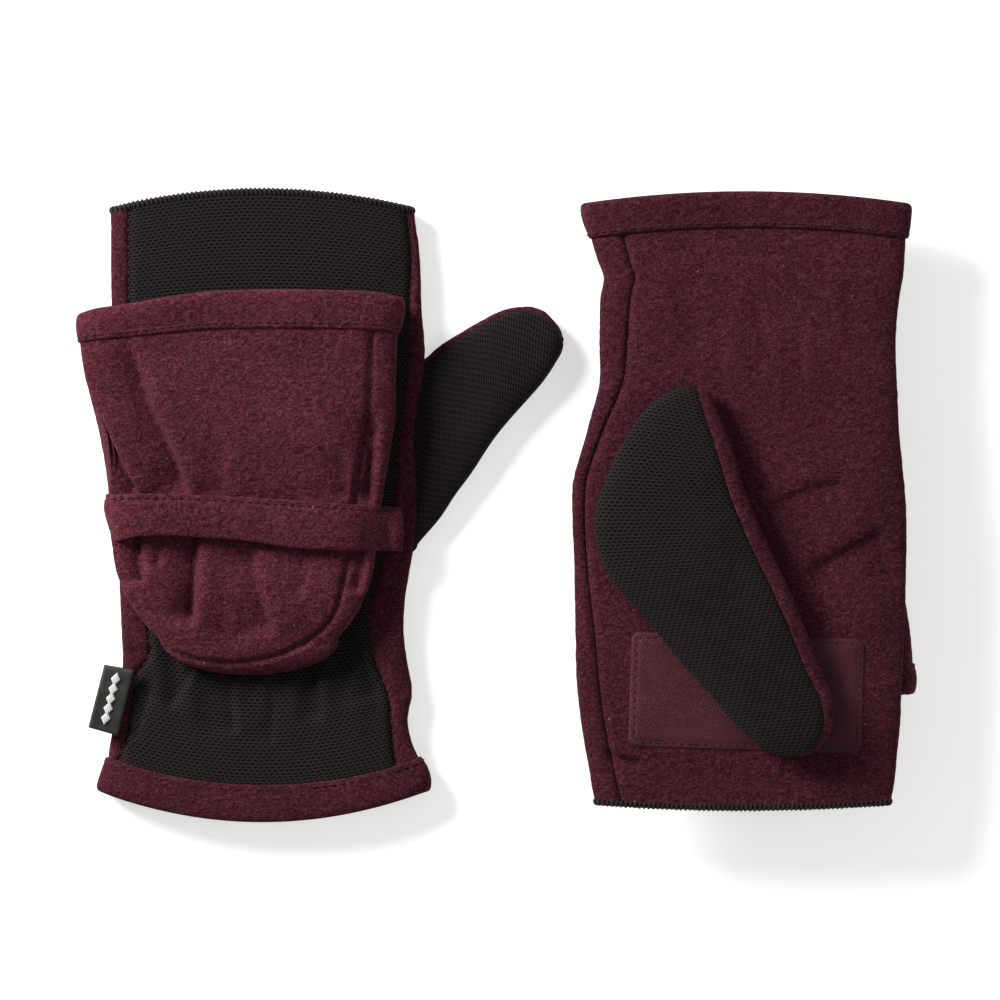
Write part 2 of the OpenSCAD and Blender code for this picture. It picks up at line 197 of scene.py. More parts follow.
def gridFaces(rows, cols, wrapCols=False, wrapRows=False):
    r = np.arange(rows if wrapRows else rows - 1)[:, None]
    c = np.arange(cols if wrapCols else cols - 1)[None, :]
    r2, c2 = (r + 1) % rows, (c + 1) % cols
    return np.stack([r * cols + c, r * cols + c2, r2 * cols + c2, r2 * cols + c], -1).reshape(-1, 4)


def alongGrid(p):
    # UV in millimetres: length along each row from its middle, and along the middle column.
    du = np.linalg.norm(np.diff(p, axis=1), axis=2)
    u = np.concatenate([np.zeros((p.shape[0], 1)), np.cumsum(du, axis=1)], axis=1)
    u = u - u[:, p.shape[1] // 2][:, None]
    mid = p[:, p.shape[1] // 2]
    v = np.concatenate([[0], np.cumsum(np.linalg.norm(np.diff(mid, axis=0), axis=1))])
    return np.stack([u, np.broadcast_to(v[:, None], u.shape)], -1)


def shell(p, n, thickness, wrapCols=False):
    # Closed cloth wall: the grid p, the same grid moved thickness along -n, and the rims that join
    # them.
    rows, cols = p.shape[:2]
    count = rows * cols
    outer = gridFaces(rows, cols, wrapCols)
    inner = outer[:, ::-1] + count
    ids = np.arange(count).reshape(rows, cols)
    if wrapCols:
        loops = [np.append(ids[0], ids[0, 0]), np.append(ids[-1, ::-1], ids[-1, -1])]
    else:
        loops = [np.concatenate([ids[0], ids[1:, -1], ids[-1, -2::-1], ids[-2::-1, 0]])]
    rims = [np.stack([q[1:], q[:-1], q[:-1] + count, q[1:] + count], -1) for q in loops]
    faces = np.concatenate([outer, inner] + rims)
    verts = np.concatenate([p.reshape(-1, 3), (p - n * np.asarray(thickness)).reshape(-1, 3)])
    gridNormal = np.cross(p[:-1, 1:] - p[:-1, :-1], p[1:, :-1] - p[:-1, :-1])
    if np.sum(gridNormal * n[:-1, :-1]) < 0:
        faces = faces[:, ::-1]
    uv = alongGrid(p).reshape(-1, 2)
    return verts, faces, np.concatenate([uv, uv])


def join(parts):
    verts, faces, uv, start = [], [], [], 0
    for v, f, t in parts:
        verts.append(v)
        faces.append(f + start)
        uv.append(t)
        start += len(v)
    return np.concatenate(verts), np.concatenate(faces), np.concatenate(uv)


def addPiece(side, name, part, material, body, nodes=(), weld=False):
    # One finished piece, in the shared frame, that rides on its CAD body and stands for its nodes.
    verts, faces, uv = part
    verts = toRow(side, verts)
    # cloth near the table settles onto it: below this height z becomes rest * exp(z / rest - 1)
    rest = 0.0005
    verts[:, 2] = np.where(verts[:, 2] < rest, rest * np.exp(np.minimum(verts[:, 2] / rest - 1, 0)),
        verts[:, 2])
    if place[side]["sense"] < 0:
        faces = faces[:, ::-1]
    mesh = bpy.data.meshes.new(name)
    mesh.vertices.add(len(verts))
    mesh.vertices.foreach_set("co", verts.astype(np.float32).ravel())
    mesh.loops.add(faces.size)
    mesh.loops.foreach_set("vertex_index", faces.astype(np.int32).ravel())
    mesh.polygons.add(len(faces))
    mesh.polygons.foreach_set("loop_start", (np.arange(len(faces)) * 4).astype(np.int32))
    mesh.uv_layers.new(name="cloth").data.foreach_set("uv",
        (uv[faces.ravel()] * mm).astype(np.float32).ravel())
    mesh.update(calc_edges=True)
    if weld:

        work = bmesh.new()
        work.from_mesh(mesh)
        bmesh.ops.remove_doubles(work, verts=work.verts, dist=2e-6)
        bmesh.ops.dissolve_degenerate(work, edges=work.edges, dist=1e-7)
        work.to_mesh(mesh)
        work.free()
    mesh.polygons.foreach_set("use_smooth", np.ones(len(mesh.polygons), bool))
    mesh.materials.append(material)
    piece = bpy.data.objects.new(name, mesh)
    bpy.context.scene.collection.objects.link(piece)
    if body:
        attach(piece, body)
    if nodes:
        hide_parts(*nodes)
    return piece


def unit(v):
    return v / np.maximum(np.linalg.norm(v, axis=-1, keepdims=True), 1e-9)


def tube(path, out, radius, sides=6, closed=False):
    # Round yarn: ring of radius r about each path point, in the plane of out and tangent x out.
    tangent = unit(np.gradient(path, axis=0) if not closed else np.roll(path, -1, 0) - np.roll(path, 1, 0))
    out = unit(out - tangent * np.sum(out * tangent, -1, keepdims=True))
    across = np.cross(tangent, out)
    a = np.arange(sides) / sides * 2 * np.pi
    r = np.broadcast_to(np.asarray(radius, float), (len(path),))[:, None, None]
    p = path[:, None] + r * (np.cos(a)[None, :, None] * out[:, None] + np.sin(a)[None, :, None]
        * across[:, None])
    faces = gridFaces(len(path), sides, wrapCols=True, wrapRows=closed)
    length = np.concatenate([[0], np.cumsum(np.linalg.norm(np.diff(path, axis=0), axis=1))])
    uv = np.stack(np.broadcast_arrays(a[None, :] * np.max(radius), length[:, None]), -1).reshape(-1, 2)
    return p.reshape(-1, 3), faces[:, ::-1], uv


def stitches(path, out, pitch, size, radius, sink=0.0):
    # Sewn run: capsules of the given size, one per pitch, each bowed a little out of the cloth.
    step = np.linalg.norm(np.diff(path, axis=0), axis=1)
    length = np.concatenate([[0], np.cumsum(step)])
    count = max(2, int(length[-1] / pitch))
    at = (np.arange(count) + 0.5) * length[-1] / count
    q = np.array([-1, -0.8, -0.3, 0.3, 0.8, 1])
    where = at[:, None] + q[None, :] * size / 2
    centre = np.stack([np.interp(where, length, path[:, i]) for i in range(3)], -1)
    up = unit(np.stack([np.interp(where, length, out[:, i]) for i in range(3)], -1))
    centre = centre + up * (radius * (0.7 - 1.5 * q[None, :, None] ** 4) - sink)
    tangent = unit(np.repeat((centre[:, -1] - centre[:, 0])[:, None], len(q), 1))
    up = unit(up - tangent * np.sum(up * tangent, -1, keepdims=True))
    across = np.cross(tangent, up)
    a = np.arange(6) / 6 * 2 * np.pi
    ring = radius * np.sqrt(1 - q ** 2)[None, :, None, None]
    p = centre[:, :, None] + ring * (np.cos(a)[:, None] * up[:, :, None] + np.sin(a)[:, None]
        * across[:, :, None])
    one = gridFaces(len(q), 6, wrapCols=True)[:, ::-1]
    faces = (one[None] + (np.arange(count) * len(q) * 6)[:, None, None]).reshape(-1, 4)
    uv = np.stack(np.broadcast_arrays(a[None, None, :] * radius, where[:, :, None]), -1).reshape(-1, 2)
    return p.reshape(-1, 3), faces, uv


def sectionTable(topPower, lowPower, aspect, count=1440):
    # Flattened ring |X|^n + |Z|^n = 1, n = topPower above and lowPower below, with its length from X=-1
    # over the top.
    a = np.linspace(0, 2 * np.pi, count + 1)
    power = np.where(a <= np.pi, topPower, lowPower)
    x = -np.sign(np.cos(a)) * np.abs(np.cos(a)) ** (2 / power)
    z = np.sign(np.sin(a)) * np.abs(np.sin(a)) ** (2 / power)
    z[[0, count // 2, count]] = 0
    length = np.concatenate([[0], np.cumsum(np.hypot(np.diff(x) * aspect, np.diff(z)))])
    return {"t": length / length[-1], "x": x, "z": z, "half": count // 2}


def ringAt(section, t):
    w = np.mod(t, 1.0)
    return np.interp(w, section["t"], section["x"]), np.interp(w, section["t"], section["z"])


def topT(section, x):
    h = section["half"]
    return np.interp(x, section["x"][: h + 1], section["t"][: h + 1])


def lowT(section, x):
    h = section["half"]
    return np.interp(-x, -section["x"][h:], section["t"][h:])


def sleevePoint(sleeve, s, t):
    # Point of a sleeve: its outline at (s, X) and height mid(s) + half(s)*Z, for the ring's (X, Z) at
    # t.
    s, t = np.broadcast_arrays(s, t)
    ringX, ringZ = ringAt(sleeve["section"], t)
    x, y = sleeve["outline"](s, ringX)
    mid, half = sleeve["height"](s, x, y)
    return np.stack([x, y, mid + half * ringZ], -1)


def sleeveNormal(sleeve, s, t):
    # Outward direction: cross of the two central differences, turned to face away from the sleeve's
    # middle.
    e = 0.002
    s, t = np.broadcast_arrays(s, t)
    ds = sleevePoint(sleeve, np.clip(s + e, 0, 1), t) - sleevePoint(sleeve, np.clip(s - e, 0, 1), t)
    dt = sleevePoint(sleeve, s, t + e) - sleevePoint(sleeve, s, t - e)
    n = unit(np.cross(ds, dt))
    x, y = sleeve["outline"](s, 0 * s)
    mid, half = sleeve["height"](s, x, y)
    away = sleevePoint(sleeve, s, t) - np.stack([x, y, mid], -1)
    away[..., 2] *= 12
    return n * np.where(np.sum(n * away, -1, keepdims=True) < 0, -1, 1)


def panel(sleeve, s, tFrom, tTo, cell, lift, thickness, seam=(0.95, 0.95), seamWidth=1.1, inset=0.0):
    # Cloth between two seams of a sleeve: t runs tFrom(s)..tTo(s); lift(p, s, t) is added along the
    # normal.
    s = np.asarray(s, float)[:, None]
    a, b = tFrom(s), tTo(s)
    width = np.max(np.linalg.norm(
        np.diff(sleevePoint(sleeve, np.full((1, 60), 0.45),
        a[len(a) // 2] + (b - a)[len(a) // 2] * np.linspace(0, 1, 60)[None, :]), axis=1), axis=2).sum(1))
    cols = max(4, int(width / cell) + 1)
    j = np.linspace(0, 1, cols)[None, :]
    t = a + (b - a) * j
    p = sleevePoint(sleeve, s, t)
    n = sleeveNormal(sleeve, s, t)
    u = alongGrid(p)[..., 0]
    fromA = u - u[:, :1]
    toB = u[:, -1:] - u
    rise = lift(p, s, t) - seam[0] * bell(fromA, seamWidth) - seam[1] * bell(toB, seamWidth) - inset
    p = p + n * rise[..., None]
    return shell(p, n, thickness)


def rowsBetween(sleeve, s0, s1, cell):
    line = sleevePoint(sleeve, np.linspace(s0, s1, 50), np.full(50, 0.25))
    size = np.linalg.norm(np.diff(line, axis=0), axis=1).sum()
    return np.linspace(s0, s1, max(4, int(size / cell) + 1))


grain = 0.85  # grid spacing of the visible cloth

hand = {  # outline of the hand part: x of each side edge at heights y, and the bows of both open ends
    "left": {
        "pinky": ([-90, -82, -73, -48, -36, -14, 25, 63, 98],
        [-51, -49, -47.6, -43.7, -44.3, -45.4, -46.6, -47.7, -47.6]),
        "thumb": ([-90, -83, -75, -67, -59, -48, -40, -33, -14, -2, 17.7, 33.5, 47, 61, 78.7, 92.5, 98],
                  [50.2, 50, 46.4, 44.8, 46.1, 44.6, 43.7, 44, 46.5, 47.7, 47.7, 49, 49.6, 48.7, 48.4,
                  46.5, 46]),
        "fingerEnd": (98.2, 5.8), "cuffEnd": (-98.2, 9.4),
        "pinkySeam": ([-82, -70, -57, -51, -45, -38, -20, 60, 96],
        [3.2, 4.2, 3.7, 4.4, 7.8, 8.2, 7.0, 5.8, 5.6]),
        "thumbSeam": ([-90, -84, -75, -67, -62, -56, -46, -32, -14, 10, 33, 60, 92],
        [10.6, 10, 6.4, 4.9, 5.6, 7.4, 9.7, 11, 9.2, 6.5, 5.5, 3.2, 1.8]),
        "droop": (0.0, 0.0), "seed": 3,
        "backFolds": [([(-7, -44), (-11, -55), (-9, -72)], 2.3, 3.0),
        ([(-18, -44), (-23, -52), (-30, -64)], 1.8, 2.6), ([(8, -44), (15, -53), (18, -68)], 1.8, 2.6),
                      ([(25, -41), (30, -47), (35.5, -60)], 1.9, 2.4),
                      ([(1, -50), (3, -62), (2, -76)], 1.3, 2.8),
                      ([(-33, -50), (-37, -62), (-40, -74)], 1.0, 2.2),
                      ([(-45, -45.4), (-40, -45.2), (-34, -44.2)], 1.0, 1.0)],
        "palmFolds": [([(-30, -38), (-26, -50), (-20, -64)], 0.9, 3.0),
        ([(10, -38), (8, -50), (12, -66)], 0.9, 3.0)],
    },
    "right": {
        "pinky": ([-90, -79, -71, -61, -50.8, -35.8, -23.6, -9, 1.7, 13, 35.5, 62.3, 69, 76.7, 88, 93.6],
                  [-51.6, -51.2, -50.5, -49, -48.4, -48.7, -49.3, -50.5, -51.2, -51.8, -51.5, -49.9,
                  -49.6, -48.7, -47.7, -46.8]),
        "thumb": ([-90, -86, -80, -73, -68, -64, -49, -35, -25, -15, -6.7, 5.5, 16.7, 39, 62, 73, 84, 93.6],
                  [47.4, 46.8, 45.3, 43.4, 41.9, 42.8, 43.4, 43.4, 46.2, 49, 51.1, 51.5, 51.1, 50.5,
                  49.6, 48.4, 46.5, 44.6]),
        "fingerEnd": (96.2, 1.7), "cuffEnd": (-94.9, 3.6),
        "pinkySeam": ([-82, -70, -57, -51, -45, -38, -20, 60, 96],
        [3.2, 4.2, 3.7, 4.4, 7.8, 8.2, 7.0, 5.8, 5.6]),
        "thumbSeam": ([-90, -84, -75, -67, -62, -56, -46, -32, -14, 10, 33, 60, 92],
        [10.6, 10, 6.4, 4.9, 5.6, 7.4, 9.7, 11, 9.2, 6.5, 5.5, 3.2, 1.8]),
        "droop": (4.5, 1.5), "seed": 8,
        "backFolds": [([(-12, -38), (-10, -50), (-14, -66)], 0.9, 3.0),
        ([(18, -38), (16, -50), (20, -66)], 0.9, 3.0)],
        "palmFolds": [([(-4, 8), (-10.5, 3), (-22.6, -2.6), (-34, -5)], 1.4, 4.4),
        ([(-14, 26), (-20.5, 23.7), (-38, 14.4), (-46, 10)], 1.7, 4.8),
        ([(-20, 2), (-24, 14), (-30, 28)], 0.8, 4.4),
                      ([(43, 76.5), (38, 80), (30, 81)], 1.6, 1.7),
                      ([(-36, 82), (-42, 84.5), (-48, 89)], 1.0, 2.2),
                      ([(-30, -38), (-34, -50), (-33, -68)], 0.7, 4.6),
                      ([(22, -36), (17, -50), (19, -70)], 0.6, 4.6),
                      ([(-4, -34), (-8, -48), (-4, -66)], 0.5, 4.6)],
    },
}
palmSeam = ([-90, -50, -10, 15, 45, 95], [10, 9, 4.2, 3.7, 6, 8.4])  # the seam beside the thumb, on the palm


def handOutline(spec):
    # y between the two bowed ends at share s, x between the two side edges at that y.
    def outline(s, ringX):
        top = (spec["fingerEnd"][0] - spec["fingerEnd"][1] * ringX ** 2) * long
        end = (spec["cuffEnd"][0] + spec["cuffEnd"][1] * ringX ** 2) * long
        y = top + (end - top) * s
        a = smoothLine(spec["pinky"][0], spec["pinky"][1], y / long) * wide
        b = smoothLine(spec["thumb"][0], spec["thumb"][1], y / long) * wide
        return a + (b - a) * (ringX + 1) / 2, y
    return outline


def sagOf(spec, y):
    return spec["droop"][0] * ease((-y - 35) / 62) + spec["droop"][1] * ease((y - 62) / 36)


def handHeight(spec):
    # Middle and half of the thickness, which pinches in a little about the wrist, and the droop of the
    # ends.
    def height(s, x, y):
        half = (levels["back"] - levels["palm"]) / 2
        mid = (levels["back"] + levels["palm"]) / 2
        thin = 1 - 0.16 * bell(y + 47, 16)
        return mid + sagOf(spec, y), half * thin + 0 * x
    return height


def handLift(side):
    # Slow waves of the cloth, and pleats that fan out from the gathered wrist on the back.
    spec = hand[side]

    def lift(p, s, t):
        slow = 0.5 * softNoise(p * [1, 1, 0.4], 27, spec["seed"]) + 0.28 * softNoise(p * [1, 0.8, 0.4],
            13, spec["seed"] + 1)
        x = p[..., 0] / wide
        y = p[..., 1] / long
        warp = x + 3.2 * softNoise(p * [0.7, 0.3, 0], 14, 5) - 0.10 * (y + 46) * x / 40
        pleat = np.cos(warp * 2 * np.pi / 10.5) * (0.7 + 0.5 * softNoise(p * [1, 0.2, 0], 17, 9))
        onBack = np.clip((p[..., 2] - 5) / 3, 0, 1)
        near = bell(np.minimum(y + 45, 0), 19) * bell(np.maximum(y + 45, 0), 11)
        fade = np.clip(s * 14, 0, 1) * np.clip((1 - s) * 12, 0, 1)
        strength = 0.7 if side == "left" else 0.45
        made = slow + strength * near * pleat * (0.35 + 0.75 * onBack)
        made = made + onBack * folds(x, y,
            spec["backFolds"]) + np.clip((5 - p[..., 2] + sagOf(spec, p[..., 1])) / 3, 0, 1) * folds(x,
            y, spec["palmFolds"])
        return made * (0.35 + 0.65 * fade)
    return lift


def nap(p, amount=0.09, seed=21):
    # Brushed pile: two sizes of low rounded tufts.
    return amount * (0.8 * softNoise(p, 2.3, seed) + softNoise(p, 1.2, seed + 1))


sleeves = {}
for side, spec in hand.items():
    sleeves[side + "Hand"] = {"outline": handOutline(spec), "height": handHeight(spec),
        "section": sectionTable(3.0, 4.2, 48 / 4.5)}


def shader(name):
    material = bpy.data.materials.new(name)
    material.use_nodes = True
    tree = material.node_tree
    return material, tree, tree.nodes["Principled BSDF"]


def addNode(tree, kind, **values):
    node = tree.nodes.new(kind)
    for key, value in values.items():
        if hasattr(node, key):
            setattr(node, key, value)
        else:
            node.inputs[key].default_value = value
    return node


def objectPoints(tree):
    return tree.nodes.new("ShaderNodeTexCoord").outputs["Object"]


def noiseAt(tree, vector, scale, detail=2.0, rough=0.5):
    node = addNode(tree, "ShaderNodeTexNoise")
    node.inputs["Scale"].default_value = scale
    node.inputs["Detail"].default_value = detail
    node.inputs["Roughness"].default_value = rough
    tree.links.new(vector, node.inputs["Vector"])
    return node.outputs["Fac"]


def sums(tree, kind, a, b=None, c=None, clamp=False):
    node = tree.nodes.new("ShaderNodeMath")
    node.operation = kind
    node.use_clamp = clamp
    for i, value in enumerate((a, b, c)):
        if value is None:
            continue
        if isinstance(value, (int, float)):
            node.inputs[i].default_value = value
        else:
            tree.links.new(value, node.inputs[i])
    return node.outputs[0]


def rampOf(tree, factor, stops):
    node = tree.nodes.new("ShaderNodeValToRGB")
    ramp = node.color_ramp
    while len(ramp.elements) < len(stops):
        ramp.elements.new(0.5)
    for element, (at, colour) in zip(ramp.elements, stops):
        element.position = at
        element.color = (*colour, 1)
    tree.links.new(factor, node.inputs["Fac"])
    return node.outputs["Color"]


def blendColours(tree, kind, factor, a, b):
    node = tree.nodes.new("ShaderNodeMix")
    node.data_type = "RGBA"
    node.blend_type = kind
    for socket, value in ((node.inputs[0], factor), (node.inputs[6], a), (node.inputs[7], b)):
        if isinstance(value, (int, float)):
            socket.default_value = value
        elif isinstance(value, tuple):
            socket.default_value = (*value, 1)
        else:
            tree.links.new(value, socket)
    return node.outputs[2]


def bumpFrom(tree, height, strength, distance, before=None):
    node = tree.nodes.new("ShaderNodeBump")
    node.inputs["Strength"].default_value = strength
    node.inputs["Distance"].default_value = distance
    tree.links.new(height, node.inputs["Height"])
    if before is not None:
        tree.links.new(before, node.inputs["Normal"])
    return node.outputs["Normal"]


# fleece colours: the darkest is painted shade between the tufts, the middle is the fleece's own colour, the
# palest is a painted highlight on the tufts' tips
fleeceLook = {"gap": (0.0210, 0.0034, 0.0058), "tuft": (0.0700, 0.0140, 0.0215),
    "tip": (0.150, 0.043, 0.060), "pile": 1350, "mottle": 520, "bump": 0.85}


def fleeceMaterial(name, look, shade=1.0):
    # Brushed fleece: fine pile with painted shade in the gaps between tufts and a painted highlight on their
    # tips, soft mottling, slow patches, a few pale specks of lint.
    material, tree, bsdf = shader(name)
    at = objectPoints(tree)
    stretch = addNode(tree, "ShaderNodeMapping")
    stretch.inputs["Scale"].default_value = (0.86, 1.12, 1.0)
    tree.links.new(at, stretch.inputs["Vector"])
    pileAt = stretch.outputs["Vector"]
    fine = noiseAt(tree, pileAt, look["pile"], 3.0, 0.72)
    mottle = noiseAt(tree, pileAt, look["mottle"], 2.0, 0.55)
    patches = noiseAt(tree, at, 46, 2.0, 0.5)
    pile = sums(tree, "ADD", sums(tree, "MULTIPLY", fine, 0.80), sums(tree, "MULTIPLY", mottle, 0.20))
    gap, tuft, tip = (tuple(c * shade for c in look[key]) for key in ("gap", "tuft", "tip"))
    # pile colour follows the bump height: painted shade in the low gaps, painted highlight on the high tips
    colour = rampOf(tree, pile, [(0.33, gap), (0.49, tuft), (0.68, tip)])
    slow = rampOf(tree, patches, [(0.3, (0.90, 0.89, 0.90)), (0.7, (1.09, 1.09, 1.09))])
    colour = blendColours(tree, "MULTIPLY", 1.0, colour, slow)
    lint = addNode(tree, "ShaderNodeTexVoronoi")
    lint.inputs["Scale"].default_value = 120
    tree.links.new(at, lint.inputs["Vector"])
    speck = sums(tree, "LESS_THAN", lint.outputs["Distance"], 0.026)
    colour = blendColours(tree, "MIX", sums(tree, "MULTIPLY", speck, 0.5), colour, (0.45, 0.33, 0.34))
    tree.links.new(colour, bsdf.inputs["Base Color"])
    bsdf.inputs["Roughness"].default_value = 0.97
    bsdf.inputs["Specular IOR Level"].default_value = 0.05
    bsdf.inputs["Sheen Weight"].default_value = 0.06
    bsdf.inputs["Sheen Roughness"].default_value = 0.5
    bsdf.inputs["Sheen Tint"].default_value = (0.85, 0.45, 0.53, 1)
    low = bumpFrom(tree, mottle, 0.55, 0.0010)
    tree.links.new(bumpFrom(tree, fine, look["bump"], 0.0004, low), bsdf.inputs["Normal"])
    return material


knitLook = {"hole": (0.0007, 0.0006, 0.0006), "yarn": (0.0178, 0.0133, 0.0130), "row": 1.06,
    "stitch": 1.80, "bump": 1.0}


def knitMaterial(name, look, shade=1.0):
    # Stretch knit: rows of short flat holes, each row set half a stitch from the one before.
    material, tree, bsdf = shader(name)
    uv = addNode(tree, "ShaderNodeUVMap", uv_map="cloth")
    split = tree.nodes.new("ShaderNodeSeparateXYZ")
    tree.links.new(uv.outputs["UV"], split.inputs[0])
    wobble = noiseAt(tree, objectPoints(tree), 330, 2.0, 0.5)
    v = sums(tree, "ADD", sums(tree, "DIVIDE", split.outputs["Y"], look["row"] * mm),
        sums(tree, "MULTIPLY", wobble, 0.5))
    odd = sums(tree, "MODULO", sums(tree, "FLOOR", v), 2.0)
    u = sums(tree, "DIVIDE", split.outputs["X"], look["stitch"] * mm)
    u = sums(tree, "ADD", sums(tree, "ADD", u, sums(tree, "MULTIPLY", odd, 0.5)), 400.0)
    u = sums(tree, "ADD", u, sums(tree, "MULTIPLY", wobble, 0.4))
    cu = sums(tree, "MULTIPLY", sums(tree, "SUBTRACT", sums(tree, "FRACT", u), 0.5), 2.15)
    cv = sums(tree, "MULTIPLY",
        sums(tree, "SUBTRACT", sums(tree, "FRACT", sums(tree, "ADD", v, 400.0)), 0.5), 2.7)
    away = sums(tree, "SQRT",
        sums(tree, "ADD", sums(tree, "MULTIPLY", cu, cu), sums(tree, "MULTIPLY", cv, cv)))
    rise = tree.nodes.new("ShaderNodeMapRange")
    rise.interpolation_type = "SMOOTHSTEP"
    for key, value in (("From Min", 0.50), ("From Max", 1.02), ("To Min", 0.0), ("To Max", 1.0)):
        rise.inputs[key].default_value = value
    tree.links.new(away, rise.inputs["Value"])
    fibres = noiseAt(tree, objectPoints(tree), 2600, 3.0, 0.65)
    tone = sums(tree, "MULTIPLY", rise.outputs["Result"],
        sums(tree, "ADD", 0.55, sums(tree, "MULTIPLY", fibres, 0.9)))
    colour = rampOf(tree, tone,
        [(0.05, tuple(c * shade for c in look["hole"])), (1.0, tuple(c * shade for c in look["yarn"]))])
    tree.links.new(colour, bsdf.inputs["Base Color"])
    bsdf.inputs["Roughness"].default_value = 0.85
    bsdf.inputs["Specular IOR Level"].default_value = 0.12
    bsdf.inputs["Sheen Weight"].default_value = 0.02
    bsdf.inputs["Sheen Roughness"].default_value = 0.5
    low = bumpFrom(tree, rise.outputs["Result"], look["bump"], 0.0005)
    tree.links.new(bumpFrom(tree, fibres, 0.3, 0.0002, low), bsdf.inputs["Normal"])
    return material


leatherLook = {"dark": (0.042, 0.0055, 0.0105), "light": (0.092, 0.0150, 0.0255), "pebbles": 1500,
    "rough": 0.42}


def leatherMaterial(name, look):
    # Smooth leather: small creased pebbles, pores and slow changes of shade and gloss.
    material, tree, bsdf = shader(name)
    at = objectPoints(tree)
    cells = addNode(tree, "ShaderNodeTexVoronoi", feature="DISTANCE_TO_EDGE")
    cells.inputs["Scale"].default_value = look["pebbles"]
    tree.links.new(at, cells.inputs["Vector"])
    crease = sums(tree, "MINIMUM", sums(tree, "MULTIPLY", cells.outputs["Distance"], 4.0), 1.0)
    fine = noiseAt(tree, at, 2400, 3.0, 0.6)
    slow = noiseAt(tree, at, 90, 3.0, 0.55)
    tone = sums(tree, "ADD", sums(tree, "MULTIPLY", slow, 0.75), sums(tree, "MULTIPLY", crease, 0.25))
    tree.links.new(rampOf(tree, tone, [(0.3, look["dark"]), (0.75, look["light"])]),
        bsdf.inputs["Base Color"])
    tree.links.new(sums(tree, "ADD", look["rough"], sums(tree, "MULTIPLY", slow, 0.14)),
        bsdf.inputs["Roughness"])
    bsdf.inputs["Specular IOR Level"].default_value = 0.22
    low = bumpFrom(tree, crease, 0.45, 0.00022)
    tree.links.new(bumpFrom(tree, fine, 0.2, 0.00012, low), bsdf.inputs["Normal"])
    return material


def yarnMaterial(name, dark, light, twist=0.55, rough=0.8):
    # Thread: a two-ply twist along its length, with fine fibres.
    material, tree, bsdf = shader(name)
    uv = addNode(tree, "ShaderNodeUVMap", uv_map="cloth")
    ply = tree.nodes.new("ShaderNodeTexWave")
    ply.bands_direction = "DIAGONAL"
    ply.inputs["Scale"].default_value = 620
    ply.inputs["Distortion"].default_value = 0.6
    tree.links.new(uv.outputs["UV"], ply.inputs["Vector"])
    fibres = noiseAt(tree, objectPoints(tree), 3600, 2.0, 0.6)
    tone = sums(tree, "ADD", sums(tree, "MULTIPLY", ply.outputs["Fac"], twist),
        sums(tree, "MULTIPLY", fibres, 1 - twist))
    tree.links.new(rampOf(tree, tone, [(0.2, dark), (0.8, light)]), bsdf.inputs["Base Color"])
    bsdf.inputs["Roughness"].default_value = rough
    bsdf.inputs["Specular IOR Level"].default_value = 0.25
    bsdf.inputs["Sheen Weight"].default_value = 0.08
    tree.links.new(bumpFrom(tree, tone, 0.5, 0.00015), bsdf.inputs["Normal"])
    return material


def wovenMaterial(name, dark, light, pitch, rough=0.7, specular=0.3):
    # Plain weave: warp and weft as two sine waves on the piece's own UV, crossed.
    material, tree, bsdf = shader(name)
    uv = addNode(tree, "ShaderNodeUVMap", uv_map="cloth")
    split = tree.nodes.new("ShaderNodeSeparateXYZ")
    tree.links.new(uv.outputs["UV"], split.inputs[0])
    k = 2 * math.pi / (pitch * mm)
    warp = sums(tree, "SINE", sums(tree, "MULTIPLY", split.outputs["X"], k))
    weft = sums(tree, "SINE", sums(tree, "MULTIPLY", split.outputs["Y"], k))
    weave = sums(tree, "ADD", sums(tree, "MULTIPLY", sums(tree, "MULTIPLY", warp, weft), 0.5), 0.5)
    fibres = noiseAt(tree, objectPoints(tree), 3000, 2.0, 0.6)
    tone = sums(tree, "ADD", sums(tree, "MULTIPLY", weave, 0.65), sums(tree, "MULTIPLY", fibres, 0.35))
    tree.links.new(rampOf(tree, tone, [(0.15, dark), (0.85, light)]), bsdf.inputs["Base Color"])
    bsdf.inputs["Roughness"].default_value = rough
    bsdf.inputs["Specular IOR Level"].default_value = specular
    tree.links.new(bumpFrom(tree, weave, 0.5, 0.0002), bsdf.inputs["Normal"])
    return material


fleece = fleeceMaterial("burgundyFleece", fleeceLook, 0.72)  # of the hand: a shade deeper
capFleece = fleeceMaterial("burgundyCapFleece", fleeceLook)
knit = knitMaterial("blackStretchKnit", knitLook)
leather = leatherMaterial("burgundyLeather", leatherLook)
sewing = yarnMaterial("burgundyThread", (0.020, 0.0042, 0.0068), (0.058, 0.0150, 0.0215))
edging = yarnMaterial("blackOverlockYarn", (0.0022, 0.0018, 0.0018), (0.020, 0.0165, 0.016))
lining = wovenMaterial("darkLining", (0.010, 0.008, 0.0085), (0.034, 0.028, 0.029), 0.9)
elastic = wovenMaterial("blackElastic", (0.004, 0.004, 0.004), (0.022, 0.020, 0.020), 1.4)
satin = wovenMaterial("blackLabelSatin", (0.003, 0.003, 0.0032), (0.017, 0.017, 0.018), 0.55, 0.42, 0.5)
marks = yarnMaterial("paleLabelThread", (0.42, 0.41, 0.40), (0.78, 0.77, 0.75), 0.5, 0.6)
print("materials made")


clothThickness = {"fleece": 1.5, "knit": 1.1, "lining": 0.5, "elastic": 0.6}
cuffHem = {"share": 0.0585, "bulge": 1.25, "fold": 1.7}


